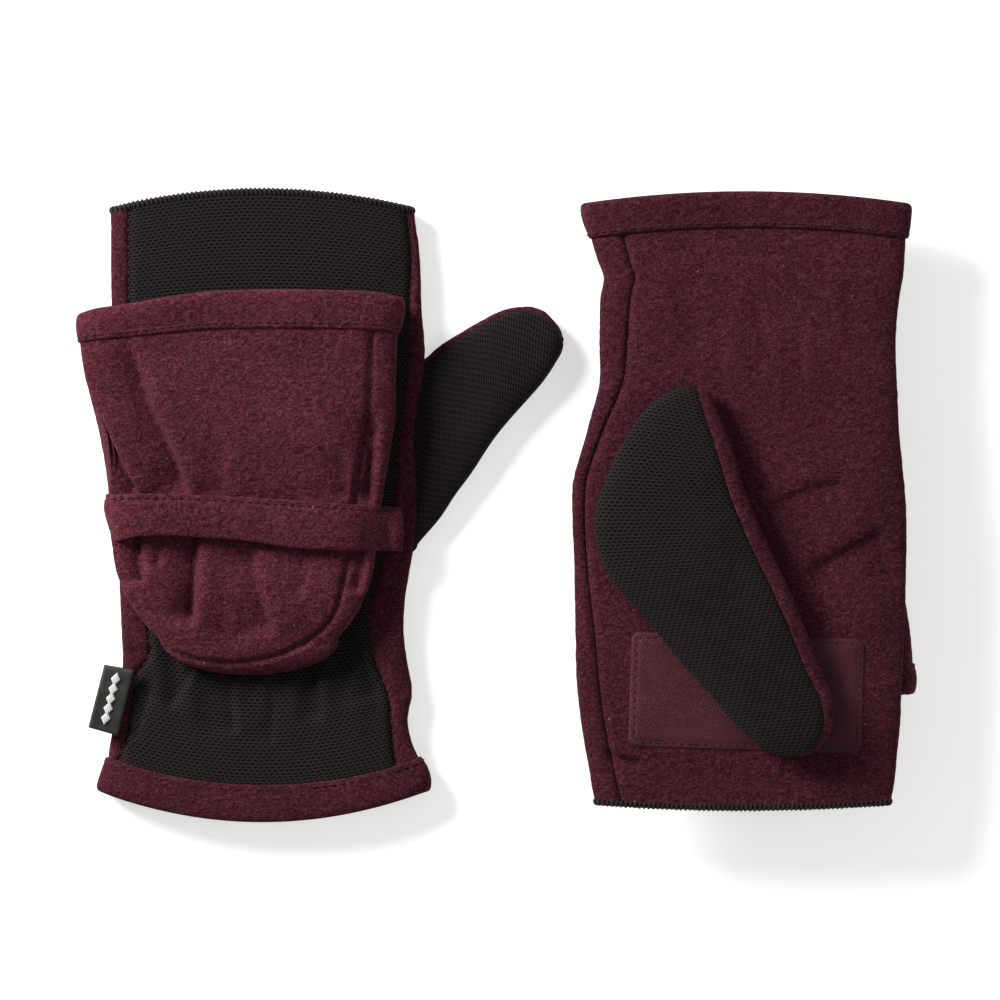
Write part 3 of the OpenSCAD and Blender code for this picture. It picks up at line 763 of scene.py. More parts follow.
def seamT(side, which):
    # Where a panel's seam runs: share t of the ring, for each share s of the length.
    spec = hand[side]
    sleeve = sleeves[side + "Hand"]

    def where(s):
        edge = -1.0 if which == "pinkyBack" else 1.0
        _, y = sleeve["outline"](s, 0 * s + edge)
        a = smoothLine(spec["pinky"][0], spec["pinky"][1], y / long)
        b = smoothLine(spec["thumb"][0], spec["thumb"][1], y / long)
        half = (b - a) / 2
        if which == "pinkyBack":
            return topT(sleeve["section"], -1 + smoothLine(*spec["pinkySeam"], y / long) / half)
        if which == "thumbBack":
            return topT(sleeve["section"], 1 - smoothLine(*spec["thumbSeam"], y / long) / half)
        return lowT(sleeve["section"], 1 - smoothLine(*palmSeam, y / long) / half)
    return where


def seamPath(sleeve, where, s, lift, drop):
    # Line of a seam on its sleeve, with the outward directions.
    t = where(s)
    p = sleevePoint(sleeve, s, t)
    n = sleeveNormal(sleeve, s, t)
    return p + n * (lift(p, s, t) - drop)[..., None], n


def cuffRing(side, cols):
    # Turned hem: a flat loop of cloth round the cuff; profile (share along the hem, height off the
    # cloth).
    sleeve = sleeves[side + "Hand"]
    s0 = 1 - cuffHem["share"]
    profile = np.array([
        (0.00, 0.00), (0.01, 0.62), (0.06, 0.98), (0.16, 1.10), (0.30, 1.16), (0.48, 1.24),
        (0.66, 1.28), (0.82, 1.22), (0.92, 1.02), (0.98, 0.62),
        (1.01, 0.0), (1.005, -0.8), (0.97, -1.4), (0.90, -1.75), (0.7, -1.9), (0.45, -1.9), (0.2, -1.9),
        (0.05, -1.85), (0.00, -1.5), (-0.01, -0.8),
    ])
    t = np.linspace(0, 1, cols, endpoint=False)[None, :]
    s = s0 + profile[:, :1] * cuffHem["share"]
    sIn = np.clip(s, 0, 1)
    p = sleevePoint(sleeve, sIn, t)
    n = sleeveNormal(sleeve, sIn, t)
    down = unit(sleevePoint(sleeve, np.full_like(t, 1.0), t) - sleevePoint(sleeve, np.full_like(t, 0.97), t))
    past = (s - sIn) * 196
    wave = handLift(side)(p, sIn, t)
    rib = bell(profile[:, :1] - 0.13, 0.035) * -0.32  # the topstitch pulls the hem in
    ripple = 0.22 * softNoise(p * [1, 0.3, 1], 4.2, 31) * np.clip(profile[:, 1:], 0, 1)
    flare = ease((profile[:, :1]) / 0.9) * 0.5
    p = p + n * (profile[:, 1:] + rib * (profile[:, 1:] > 0) + wave + ripple + flare
        + nap(p, 0.09, 33))[..., None] + down * past[..., None]
    faces = gridFaces(p.shape[0], p.shape[1], wrapCols=True, wrapRows=True)
    gridNormal = np.cross(p[5, 1:] - p[5, :-1], p[6, :-1] - p[5, :-1])
    if np.sum(gridNormal * n[5, :-1]) < 0:
        faces = faces[:, ::-1]
    return p.reshape(-1, 3), faces, alongGrid(p).reshape(-1, 2)


overlock = {"pitch": 1.42, "reach": 1.0, "rise": 0.92, "yarn": 0.33}


def edgeLoops(sleeve, lift, s0, out, tRange=(0.0, 1.0), wall=1.3, closed=True):
    # Overlocked edge: a yarn helix about the cloth's raw edge, centre + reach*cos*out +
    # rise*sin*normal, over a soft core.
    girth = np.linalg.norm(np.diff(sleevePoint(sleeve, np.full(200, s0), np.linspace(*tRange, 200)),
        axis=0), axis=1).sum()
    turns = int(girth / overlock["pitch"])
    steps = 10
    k = np.arange(turns * steps)
    t = tRange[0] + (tRange[1] - tRange[0]) * k / (turns * steps)
    s = np.full(len(k), s0)
    base = sleevePoint(sleeve, s, t)
    n = sleeveNormal(sleeve, s, t)
    away = unit(sleevePoint(sleeve, s, t) - sleevePoint(sleeve, s + 0.02 * out, t))
    centre = base + n * (lift(base, s, t) - wall / 2)[:, None] - away * 0.35
    a = 2 * np.pi * k / steps
    radial = away * np.cos(a)[:, None] * overlock["reach"] + n * np.sin(a)[:, None] * overlock["rise"]
    wild = 1 + 0.12 * softNoise(base * 1.0, 2.1, 41)
    parts = [tube(centre + radial * wild[:, None], radial, overlock["yarn"], 6, closed)]
    core = slice(0, None, 5)
    ring = np.arange(10) / 10 * 2 * np.pi
    c, m, w = centre[core], n[core], away[core]
    grid = c[:, None] + w[:, None] * (np.cos(ring) * overlock["reach"] * 0.86)[None, :, None] + m[:,
        None] * (np.sin(ring) * overlock["rise"] * 0.80)[None, :, None]
    faces = gridFaces(len(c), 10, wrapCols=True, wrapRows=closed)
    gridNormal = np.cross(grid[0, 1] - grid[0, 0], grid[1, 0] - grid[0, 0])
    if np.dot(gridNormal, grid[0, 0] - c[0]) < 0:
        faces = faces[:, ::-1]
    parts.append((grid.reshape(-1, 3), faces, alongGrid(grid).reshape(-1, 2)))
    return join(parts)


def handPieces(side):
    sleeve = sleeves[side + "Hand"]
    lift = handLift(side)
    body = side + "_hand"
    pinkyBack, thumbBack, palmEdge = (seamT(side, w) for w in ("pinkyBack", "thumbBack", "palm"))
    fleeceLift = lambda p, s, t: lift(p, s, t) + nap(p)
    last = 1 - cuffHem["share"] * 0.9
    front = grain if side == "right" else grain * 1.7
    backCell = grain if side == "left" else grain * 1.5
    rows = lambda cell: rowsBetween(sleeve, 0.004, last, cell)
    palm = addPiece(side, side + "_palm_panel_cloth",
        panel(sleeve, rows(front), palmEdge, lambda s: 1 + pinkyBack(s), front, fleeceLift,
        clothThickness["fleece"]),
                    fleece, body, [side + "_palm_panel"])
    gusset = addPiece(side, side + "_side_gusset_cloth",
        panel(sleeve, rows(grain), thumbBack, palmEdge, grain, fleeceLift, clothThickness["fleece"]),
                      fleece, body, [side + "_side_gusset"])
    back = addPiece(side, side + "_back_panel_cloth",
        panel(sleeve, rows(backCell), pinkyBack, thumbBack, backCell, lift, clothThickness["knit"],
        seam=(1.15, 1.15)),
                    knit, body, [side + "_back_panel"])
    addPiece(side, side + "_back_lining_cloth",
                     panel(sleeve, rowsBetween(sleeve, 0.006, 0.985, 2.6), lambda s: 0 * s + 0.02,
                     lambda s: 0 * s + 0.48, 2.6, lift, clothThickness["lining"], (0, 0),
                     inset=clothThickness["knit"] + 0.75),
                     lining, body, [side + "_back_lining"])
    wristS = 0.765
    addPiece(side, side + "_wrist_elastic_band",
             panel(sleeve, np.linspace(wristS - 0.02, wristS + 0.02, 7), lambda s: 0 * s + 0.05,
             lambda s: 0 * s + 0.45, 1.6,
                   lambda p, s, t: lift(p, s, t) + 0.25 * np.cos(p[..., 0] * 2 * np.pi / 3.1),
                   clothThickness["elastic"], (0, 0), inset=clothThickness["knit"] + 1.75),
             elastic, body, [side + "_wrist_elastic"])
    addPiece(side, side + "_cuff_hem_band", cuffRing(side, 260), fleece, body,
        [side + "_cuff_hem"])
    ring = np.linspace(0, 1, 260)
    s = np.full(260, 1 - cuffHem["share"] * 0.87)
    p = sleevePoint(sleeve, s, ring)
    n = sleeveNormal(sleeve, s, ring)
    path = p + n * (lift(p, s, ring) + 1.02)[:, None]
    addPiece(side, side + "_cuff_topstitch", stitches(path, n, 2.9, 2.1, 0.26, 0.12), sewing, body,
        [side + "_cuff_thread"], weld=True)
    addPiece(side, side + "_finger_overlock_edge", edgeLoops(sleeve, lift, 0.003, 1), edging, body,
        [side + "_finger_overlock"])
    runs = []
    rowsOfSeam = np.linspace(0.01, last, 150)
    for where in (pinkyBack, thumbBack):
        path, n = seamPath(sleeve, where, rowsOfSeam, lift, 1.0)
        runs.append(stitches(path, n, 2.6, 2.0, 0.24, 0.05))
    addPiece(side, side + "_back_seam_stitches", join(runs), sewing, body,
        [side + "_back_seam_thread"], weld=True)
    return palm, gusset, back


clothSheets = {}
for side in ("left", "right"):
    clothSheets[side] = dict(zip(("palm_panel", "side_gusset", "back_panel"), handPieces(side)))
print("hands made")


patch = {"shift": (2.1, 2.6), "tilt": 1.8, "inset": 1.8, "pitch": 2.4, "crown": 0.35, "groove": 0.38}


def palmSurface(side, x, y):
    # Height of the palm's outside at (x, y), and of the slow waves on it.
    sleeve = sleeves[side + "Hand"]
    spec = hand[side]
    a = smoothLine(spec["pinky"][0], spec["pinky"][1], y / long) * wide
    b = smoothLine(spec["thumb"][0], spec["thumb"][1], y / long) * wide
    ringX = np.clip((x - (a + b) / 2) / ((b - a) / 2), -1, 1)
    mid, half = sleeve["height"](0 * x, x, y)
    z = mid - half * (1 - np.abs(ringX) ** 4.2) ** (1 / 4.2)
    p = np.stack([x, y, z], -1)
    return z - handLift(side)(p, 0.2 + 0 * x, 0 * x)


def patchPieces(side):
    low, high = localBox(side, "palm_patch")
    centre = (low + high) / 2
    w, l = (high - low)[:2] / 2
    u, v = np.meshgrid(np.linspace(-1, 1, 92), np.linspace(-1, 1, 50))
    x, y = u * w, v * l
    r = 3.0
    cx, cy = np.abs(x) - (w - r), np.abs(y) - (l - r)
    reach = np.maximum(np.maximum(cx, cy), 1e-6)
    far = np.hypot(np.maximum(cx, 0), np.maximum(cy, 0))
    shrink = np.where((cx > 0) & (cy > 0), reach / np.maximum(far, 1e-6), 1.0)
    x = np.where((cx > 0) & (cy > 0), np.sign(x) * (w - r + cx * shrink), x)
    y = np.where((cx > 0) & (cy > 0), np.sign(y) * (l - r + cy * shrink), y)
    edge = np.minimum(r - np.hypot(np.maximum(np.abs(x) - (w - r), 0),
        np.maximum(np.abs(y) - (l - r), 0)), np.minimum(w - np.abs(x), l - np.abs(y)) + 0 * x)
    rise = 0.15 + 0.85 * np.sqrt(np.clip(edge / 0.9, 0, 1)) + patch["crown"] * ease(edge
        / 9) - patch["groove"] * bell(edge - patch["inset"], 0.55)
    rise = rise + 0.10 * softNoise(np.stack([x, y, 0 * x], -1), 7, 51) * ease(edge / 3)
    turn = math.radians(patch["tilt"]) * (1 if side == "right" else 0)
    ax = centre[0] + x * math.cos(turn) + y * math.sin(turn)
    ay = centre[1] - x * math.sin(turn) + y * math.cos(turn)
    ax, ay = ax - patch["shift"][0], ay - patch["shift"][1]
    p = np.stack([ax, ay, palmSurface(side, ax, ay) + 0.35 - rise * 0.9], -1)
    n = np.zeros_like(p)
    n[..., 2] = -1
    piece = addPiece(side, side + "_palm_patch_leather", shell(p, n, 0.45 + 0 * p[..., :1]), leather,
        side + "_hand", [side + "_palm_patch"])
    q = w - patch["inset"], l - patch["inset"]
    corner = r - 1.0
    arc = np.linspace(0, np.pi / 2, 7)
    lx, ly = q[0] - corner, q[1] - corner
    line = np.concatenate([
        np.stack([lx + corner * np.cos(arc), ly + corner * np.sin(arc)], -1),
        np.stack([-lx - corner * np.sin(arc), ly + corner * np.cos(arc)], -1),
        np.stack([-lx - corner * np.cos(arc), -ly - corner * np.sin(arc)], -1),
        np.stack([lx + corner * np.sin(arc), -ly - corner * np.cos(arc)], -1),
        [[q[0], ly]],
    ])
    length = np.concatenate([[0], np.cumsum(np.hypot(*np.diff(line, axis=0).T))])
    at = np.linspace(0, length[-1], 400)
    x, y = np.interp(at, length, line[:, 0]), np.interp(at, length, line[:, 1])
    ax = centre[0] + x * math.cos(turn) + y * math.sin(turn) - patch["shift"][0]
    ay = centre[1] - x * math.sin(turn) + y * math.cos(turn) - patch["shift"][1]
    path = np.stack([ax, ay, palmSurface(side, ax, ay) + 0.35 - 0.9 * 0.72], -1)
    out = np.zeros_like(path)
    out[:, 2] = -1
    addPiece(side, side + "_patch_topstitch", stitches(path, out, patch["pitch"], 1.75, 0.23, 0.02),
        sewing, side + "_hand", [side + "_patch_thread"], weld=True)
    return piece


for side in ("left", "right"):
    clothSheets[side]["palm_patch"] = patchPieces(side)
print("patches made")


cap = {
    "left": {
        "depth": [0, 3, 13, 25, 38, 55, 76, 88, 97, 106.5, 112, 116, 118.2],
        "mid": [-7.0, -7.0, -7.4, -7.0, -5.8, -5.6, -6.0, -5.8, -5.2, -4.4, -3.9, -4.2, -4.6],
        "half": [49.6, 49.9, 49.2, 48.3, 46.7, 43.4, 41.2, 39.2, 35.3, 27.8, 21, 12, 0],
        "hemY": lambda x: 0.2 - 5.2 * ease((-x - 0.10) / 0.95) - 1.6
        * np.clip((x - 0.75) / 0.25, 0, 1) ** 2 - 1.3 * np.clip((-x - 0.85) / 0.15, 0, 1) ** 2 + 0.8
        * bell(x - 0.3, 0.5),
        "folds": [
            ([(-43.5, 56), (-35.5, 31), (-27.6, 13.8), (-23, 0)], 6.4, 3.0),
            ([(-54, 32), (-46, 15), (-38.0, 0)], 5.0, 2.3),
            ([(-38.4, -4), (-38.8, -14), (-37.2, -25)], 4.6, 2.0),
            ([(-21.8, -3), (-21, -20), (-22.6, -39)], 6.6, 2.4),
            ([(-5.5, -6), (-2.5, -22), (2.5, -42)], 3.4, 3.6),
            ([(35.4, 32), (34.4, 14), (33, -1)], 4.6, 1.7), ([(29, -9), (31, -18), (30, -28)], 2.8, 1.7),
            ([(12, -12), (13.6, -20), (11, -30)], 1.1, 3.0),
            ([(-11, 22), (-12.5, 12), (-13, 2)], 1.0, 3.2), ([(24, 18), (25, 10), (25.5, 1)], 1.2, 2.6),
            ([(-31, -8), (-31.5, -14), (-33, -20)], 1.6, 1.2),
        ],
    },
    "right": {
        "depth": [0, 3, 13, 25, 38, 55, 76, 88, 97, 106.5, 112, 116, 118.2],
        "mid": [-2.6] * 13,
        "half": [51.2, 51.6, 51.4, 50.6, 48.6, 45, 41.5, 39.5, 35.4, 27.8, 21, 12, 0],
        "hemY": lambda x: -3.6 - 1.4 * x ** 4,
        "folds": [([(-30, 40), (-24, 22), (-20, 3)], 2.2, 2.4),
        ([(22, 36), (20, 20), (18, 3)], 2.0, 2.4), ([(2, -9), (4, -22), (5, -36)], 2.0, 2.2)],
    },
}
capSize = {"length": 118.2, "hem": 11.5, "front": 1.5, "knit": 1.1, "stitchAt": 7.9,
    "height": ([0, 12, 32, 46, 58, 66, 82, 90, 100, 108, 113, 116],
                                                                          [13.5, 13.3, 12.9, 12.2, 10.4,
                                                                          8.3, 8.0, 9.4, 9.0, 7.4, 6.0, 4.2])}


def capSleeve(side):
    # Pocket: y runs from the hem line down to the tip, x between the edges at that depth; flat below,
    # crowned above.
    spec = cap[side]

    def outline(s, ringX):
        depth = capSize["length"] * long * np.sin(s * np.pi / 2)
        hem = spec["hemY"](ringX) * np.clip(1 - depth / 30, 0, 1)
        y = levels["capY"] + hem - depth
        half = smoothLine(spec["depth"], spec["half"], depth / long) * wide
        tail = np.clip((depth / long - 106.5) / 11.7, 0, 1)
        rounded = 27.8 * np.sqrt(np.clip(1 - tail ** 2, 0, 1)) * wide
        half = np.where(depth / long > 106.5, rounded, half)
        mid = smoothLine(spec["depth"], spec["mid"], depth / long)
        return mid + half * ringX, y

    def height(s, x, y):
        depth = capSize["length"] * np.sin(s * np.pi / 2)
        tall = smoothLine(capSize["height"][0], capSize["height"][1], depth)
        tall = tall * (levels["capTop"] - levels["cap"]) / 13.6
        tall = np.where(depth > 108, 7.2 * np.sqrt(np.clip(1 - ((depth - 108) / 10.25) ** 2, 0.02, 1)), tall)
        return levels["cap"] + tall / 2, tall / 2
    return {"outline": outline, "height": height, "section": sectionTable(2.9, 5.0, 46 / 6)}


def capLift(side):
    spec = cap[side]

    def lift(p, s, t):
        up = np.clip((p[..., 2] - levels["cap"] - 3) / 3, 0, 1)
        slow = 0.45 * softNoise(p * [1, 1, 0.4], 24, 61) + 0.25 * softNoise(p * [1, 1, 0.4], 11, 62)
        tip = np.clip((1 - s) * 9, 0, 1)
        return up * tip * (folds(p[..., 0], p[..., 1], spec["folds"]) + slow)
    return lift


def shareAtDepth(depth):
    return math.asin(min(1.0, depth / capSize["length"])) * 2 / math.pi


def capRows(start, cell):
    # Shares s from a depth to the tip, a cell apart in depth.
    first = shareAtDepth(start)
    depth = np.linspace(capSize["length"] * math.sin(first * math.pi / 2), 104,
        max(4, int((104 - start) / cell)))
    s = np.arcsin(depth / capSize["length"]) * 2 / np.pi
    return np.concatenate([s, np.linspace(s[-1], 1.0, 30)[1:]])


def capPieces(side):
    sleeve = capSleeve(side)
    sleeves[side + "Cap"] = sleeve
    lift = capLift(side)
    fleeceLift = lambda p, s, t: lift(p, s, t) + nap(p, 0.09, 71)
    body = side + "_cap"
    seamDip = lambda p, s, t: fleeceLift(p, s, t) - 1.25 * seamLineDip(side, p)
    cell = grain if side == "left" else grain * 1.5
    front = addPiece(side, side + "_cap_front_cloth",
                     panel(sleeve, capRows(capSize["hem"] * 0.93, cell), lambda s: 0 * s - 0.012,
                     lambda s: 0 * s + 0.512, cell, seamDip, capSize["front"], (0.25, 0.25)),
                     capFleece, body, [side + "_cap_front"], weld=True)
    lower = []
    sideRows = capRows(8.5, cell * 1.3)
    for a, b in ((0.508, 0.548), (0.952, 0.992)):
        lower.append(panel(sleeve, sideRows, lambda s, a=a: 0 * s + a, lambda s, b=b: 0 * s + b, 1.0,
            fleeceLift, capSize["front"], (0.35, 0.35)))
    addPiece(side, side + "_cap_gusset_cloth", join(lower), capFleece, body,
        [side + "_cap_gusset"], weld=True)
    under = addPiece(side, side + "_cap_back_cloth",
                     panel(sleeve, capRows(9.8, grain * 1.5), lambda s: 0 * s + 0.546,
                     lambda s: 0 * s + 0.954, grain * 1.5, lambda p, s, t: 0 * p[..., 0] + 0.05,
                     capSize["knit"], (0.2, 0.2)),
                     knit, body, [side + "_cap_back"], weld=True)
    # hem: a turned band over the front only, ending in rounded corners at both sides
    profile = np.array([
        (1.00, 0.02), (0.985, 0.50), (0.93, 0.74), (0.84, 0.62), (0.74, 0.80), (0.55, 0.92),
        (0.35, 0.98), (0.18, 0.92), (0.07, 0.66), (0.0, 0.1),
        (-0.015, -0.6), (0.02, -1.3), (0.10, -1.7), (0.3, -1.85), (0.6, -1.85), (0.9, -1.8),
        (0.99, -1.4), (1.005, -0.6),
    ])
    cols = 150 if side == "left" else 100
    t = np.linspace(-0.034, 0.534, cols)[None, :]
    depth = profile[:, :1] * capSize["hem"]
    s = np.arcsin(np.clip(depth, 0, 115) / capSize["length"]) * 2 / np.pi
    s, t = np.broadcast_arrays(s, t)
    p = sleevePoint(sleeve, s, t)
    n = sleeveNormal(sleeve, s, t)
    tuck = np.clip(1 - np.minimum(t + 0.034, 0.534 - t) / 0.012, 0, 1) ** 2
    rise = profile[:, 1:] * (1 - 0.75 * tuck) + lift(p, s, t) + nap(p, 0.09,
        73) * (profile[:, 1:] > 0) + 0.12 * softNoise(p * [1, 0.3, 1], 3.6, 75)
    p = p + n * rise[..., None]
    p[..., 1] = p[..., 1] - np.minimum(depth, 0) - 1.2 * tuck * (profile[:, :1] < 0.3)
    closedEnds = np.concatenate(
        [p[:, :1].mean(0, keepdims=True).repeat(len(p), 0), p,
        p[:, -1:].mean(0, keepdims=True).repeat(len(p), 0)], axis=1)
    faces = gridFaces(closedEnds.shape[0], closedEnds.shape[1], wrapRows=True)
    gridNormal = np.cross(p[5, 1:] - p[5, :-1], p[6, :-1] - p[5, :-1])
    if np.sum(gridNormal * n[5, :-1]) < 0:
        faces = faces[:, ::-1]
    addPiece(side, side + "_cap_hem_band",
        (closedEnds.reshape(-1, 3), faces, alongGrid(closedEnds).reshape(-1, 2)), capFleece, body,
        [side + "_cap_hem"], weld=True)
    t = np.linspace(0.004, 0.496, 220)
    s = np.full(220, shareAtDepth(capSize["hem"] * 0.84))
    p = sleevePoint(sleeve, s, t)
    n = sleeveNormal(sleeve, s, t)
    addPiece(side, side + "_cap_hem_topstitch",
        stitches(p + n * (lift(p, s, t) + 0.66)[:, None], n, 2.7, 2.0, 0.26, 0.06), sewing, body,
        [side + "_cap_hem_thread"], weld=True)
    path, n = seamLineOnCap(side, sleeve, lift)
    addPiece(side, side + "_cap_seam_stitches", stitches(path - n * 1.08, n, 2.7, 2.0, 0.25, 0.0),
        sewing, body, [side + "_cap_seam_thread"], weld=True)
    # tape over the hinge seam, with an overlocked look along both edges
    low, high = localBox(side, "cap_tape")
    u = np.linspace(0, 1, 140)
    a = np.arange(14) / 14 * 2 * np.pi
    bump = 1 + 0.10 * np.cos(u * 2 * np.pi * 62)[:, None]
    y = (low[1] + high[1]) / 2 + np.sign(np.cos(a)) * np.abs(np.cos(a)) ** 0.6 * 1.5 * bump
    z = (low[2] + high[2]) / 2 + np.sign(np.sin(a)) * np.abs(np.sin(a)) ** 0.7 * 0.6 * bump
    ends = np.clip(np.minimum(u, 1 - u) * 60, 0, 1)[:, None] ** 0.5
    grid = np.stack([np.broadcast_to((low[0] + (high[0] - low[0]) * u)[:, None], z.shape),
        (low[1] + high[1]) / 2 + (y - (low[1] + high[1]) / 2) * ends,
        (low[2] + high[2]) / 2 + (z - (low[2] + high[2]) / 2) * ends], -1)
    faces = gridFaces(len(u), 14, wrapCols=True)
    gridNormal = np.cross(grid[70, 1] - grid[70, 0], grid[71, 0] - grid[70, 0])
    if np.dot(gridNormal, grid[70, 0] - grid[70].mean(0)) < 0:
        faces = faces[:, ::-1]
    addPiece(side, side + "_cap_hinge_tape",
        (grid.reshape(-1, 3), faces, alongGrid(grid).reshape(-1, 2)), knit, side + "_cap_base",
        [side + "_cap_tape"], weld=True)
    return front, under


def seamLine(side):
    # Long cap seam in plan: a fixed distance inside the thumb-side edge, nearer to the edge as it
    # rounds the tip.
    spec = cap[side]
    bend = 92.0
    depth = np.linspace(capSize["hem"], bend, 60)
    half = smoothLine(spec["depth"], spec["half"], depth) * wide
    mid = smoothLine(spec["depth"], spec["mid"], depth)
    side_ = np.stack([mid + half - capSize["stitchAt"], levels["capY"] - depth], -1)
    a = np.linspace(0, np.pi * 0.93, 60)[1:]
    inset = capSize["stitchAt"] - (capSize["stitchAt"] - 1.6) * ease(a / (np.pi * 0.86))
    across = smoothLine(spec["depth"], spec["half"], np.array([bend]))[0] * wide
    x = mid[-1] + (across - inset) * np.cos(a)
    y = levels["capY"] - bend - (capSize["length"] - bend - inset) * np.sin(a)
    return np.concatenate([side_, np.stack([x, y], -1)])


def seamLineDip(side, p):
    return bell(nearLine(p[..., 0], p[..., 1], seamLine(side)[::4])[0],
        0.85) * (p[..., 2] > levels["cap"] + 4)


def seamLineOnCap(side, sleeve, lift):
    line = seamLine(side)
    length = np.concatenate([[0], np.cumsum(np.hypot(*np.diff(line, axis=0).T))])
    at = np.linspace(0, length[-1], 240)
    x, y = np.interp(at, length, line[:, 0]), np.interp(at, length, line[:, 1])
    depth = np.clip(levels["capY"] - y, 0, capSize["length"] - 0.4)
    s = np.arcsin(depth / capSize["length"]) * 2 / np.pi
    left, _ = sleeve["outline"](s, 0 * s - 1)
    right, _ = sleeve["outline"](s, 0 * s + 1)
    t = topT(sleeve["section"], np.clip(2 * (x - left) / (right - left) - 1, -0.999, 0.999))
    p = sleevePoint(sleeve, s, t)
    n = sleeveNormal(sleeve, s, t)
    return p + n * lift(p, s, t)[:, None], n


for side in ("left", "right"):
    front, under = capPieces(side)
    clothSheets[side]["cap_front"], clothSheets[side]["cap_back"] = front, under
print("caps made")


strap = {
    "left": {
        "top": ([-49, -24.8, 6.2, 41.5], [3.5, 3.3, 1.7, -0.6]),
        "bottom": ([-49, -40, -30.7, -17, 14, 29.1, 41.5], [-11.6, -9.9, -9.5, -10.1, -13.5, -14.2, -14.2]),
        "path": [(-42.5, 4.6), (-45.6, 4.2), (-47.6, 6.2), (-48.0, 10.5), (-47.8, 15.0), (-46.0, 18.2),
        (-42, 19.7), (-34, 20.3), (-20, 20.5), (-5, 20.5), (10, 20.3),
                 (22, 19.6), (29, 17.8), (34.5, 14.6), (38.5, 12.2), (41.6, 11.5), (42.6, 10.9),
                 (41.4, 10.4), (39.0, 10.3)],
    },
    "right": {
        "top": ([-50, 50], [2.4, 1.0]), "bottom": ([-50, 50], [-12.6, -14.0]),
        "path": [(-41.5, 10.4), (-45.2, 10.6), (-47.8, 12), (-48.8, 14.6), (-48.0, 18), (-45, 20.4),
        (-39, 22.2), (-25, 23.6), (-5, 24.4), (15, 23.9),
                 (27, 22.2), (34.5, 18.8), (40.5, 14.6), (44.5, 12.2), (45.8, 11.3), (44.6, 10.6),
                 (42, 10.4)],
    },
}


def strapPieces(side):
    # Folded band: a soft rectangular profile carried along its path over the cap.
    spec = strap[side]
    knots = np.array(spec["path"], float)
    length = np.concatenate([[0], np.cumsum(np.hypot(*np.diff(knots, axis=0).T))])
    at = np.linspace(0, length[-1], 230)
    x, z = smoothLine(length, knots[:, 0], at), smoothLine(length, knots[:, 1], at)
    top = smoothLine(*spec["top"], x)
    low = smoothLine(*spec["bottom"], x)
    around = 40
    threadAt = 1 - 1.35 / 7.5
    foldAt = 1 - 2.6 / 7.5
    a = np.arange(around) / around * 2 * np.pi
    across = -np.sign(np.cos(a)) * np.abs(np.cos(a)) ** 0.62
    rise = np.sign(np.sin(a)) * np.abs(np.sin(a)) ** 0.62
    tangent = unit(np.stack([np.gradient(x), np.gradient(z)], -1))
    outX, outZ = -tangent[:, 1], tangent[:, 0]
    ends = np.clip(np.minimum(at, length[-1] - at) / 2.2, 0.02, 1) ** 0.5
    mid, half = (top + low) / 2, (top - low) / 2
    over = rise > 0
    groove = -0.30 * bell(across - threadAt, 0.055) - 0.16 * bell(across + foldAt, 0.07)
    puff = 0.28 * bell(across, 0.75)
    thick = (1.15 * rise[None, :] + over * (groove + puff)[None, :]) * ends[:, None]
    y = mid[:, None] + across[None, :] * half[:, None] * (0.90 + 0.10 * ends[:, None])
    px = x[:, None] + outX[:, None] * thick
    pz = z[:, None] + outZ[:, None] * thick
    px = px + 2.6 * ease((-px - 38) / 9) * np.clip((0.4 - across) / 1.4, 0, 1)[None, :]
    p = np.stack([px, y, pz], -1)
    n = unit(p - np.stack([x, mid, z], -1)[:, None])
    p = p + n * (nap(p, 0.08, 81) + 0.16 * softNoise(p, 9, 83))[..., None]
    caps = []
    for i, flip in ((0, 1), (len(at) - 1, 0)):
        ring = p[i]
        inner = np.stack([ring, np.broadcast_to(ring.mean(0), ring.shape)], 0)
        caps.append(inner if flip else inner[::-1])
    whole = np.concatenate([caps[0][1:2], p, caps[1][0:1]], 0)
    faces = gridFaces(len(whole), around, wrapCols=True)
    gridNormal = np.cross(whole[60, 11] - whole[60, 10], whole[61, 10] - whole[60, 10])
    if np.dot(gridNormal, [outX[60], 0, outZ[60]]) < 0:
        faces = faces[:, ::-1]
    piece = addPiece(side, side + "_strap_band",
        (whole.reshape(-1, 3), faces, alongGrid(whole).reshape(-1, 2)), capFleece, side + "_hand",
        [side + "_strap"], weld=True)
    run = slice(int(0.16 * len(at)), int(0.965 * len(at)))
    path = np.stack([x, mid + threadAt * half * 0.99, z], -1)[run]
    out = np.stack([outX, 0 * outX, outZ], -1)[run]
    thread = addPiece(side, side + "_strap_topstitch",
        stitches(path + out * 0.98, out, 2.6, 1.9, 0.24, 0.0), sewing, side + "_hand",
        [side + "_strap_thread"], weld=True)
    for part in (piece, thread):
        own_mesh(part)


for side in ("left", "right"):
    strapPieces(side)
print("straps made")


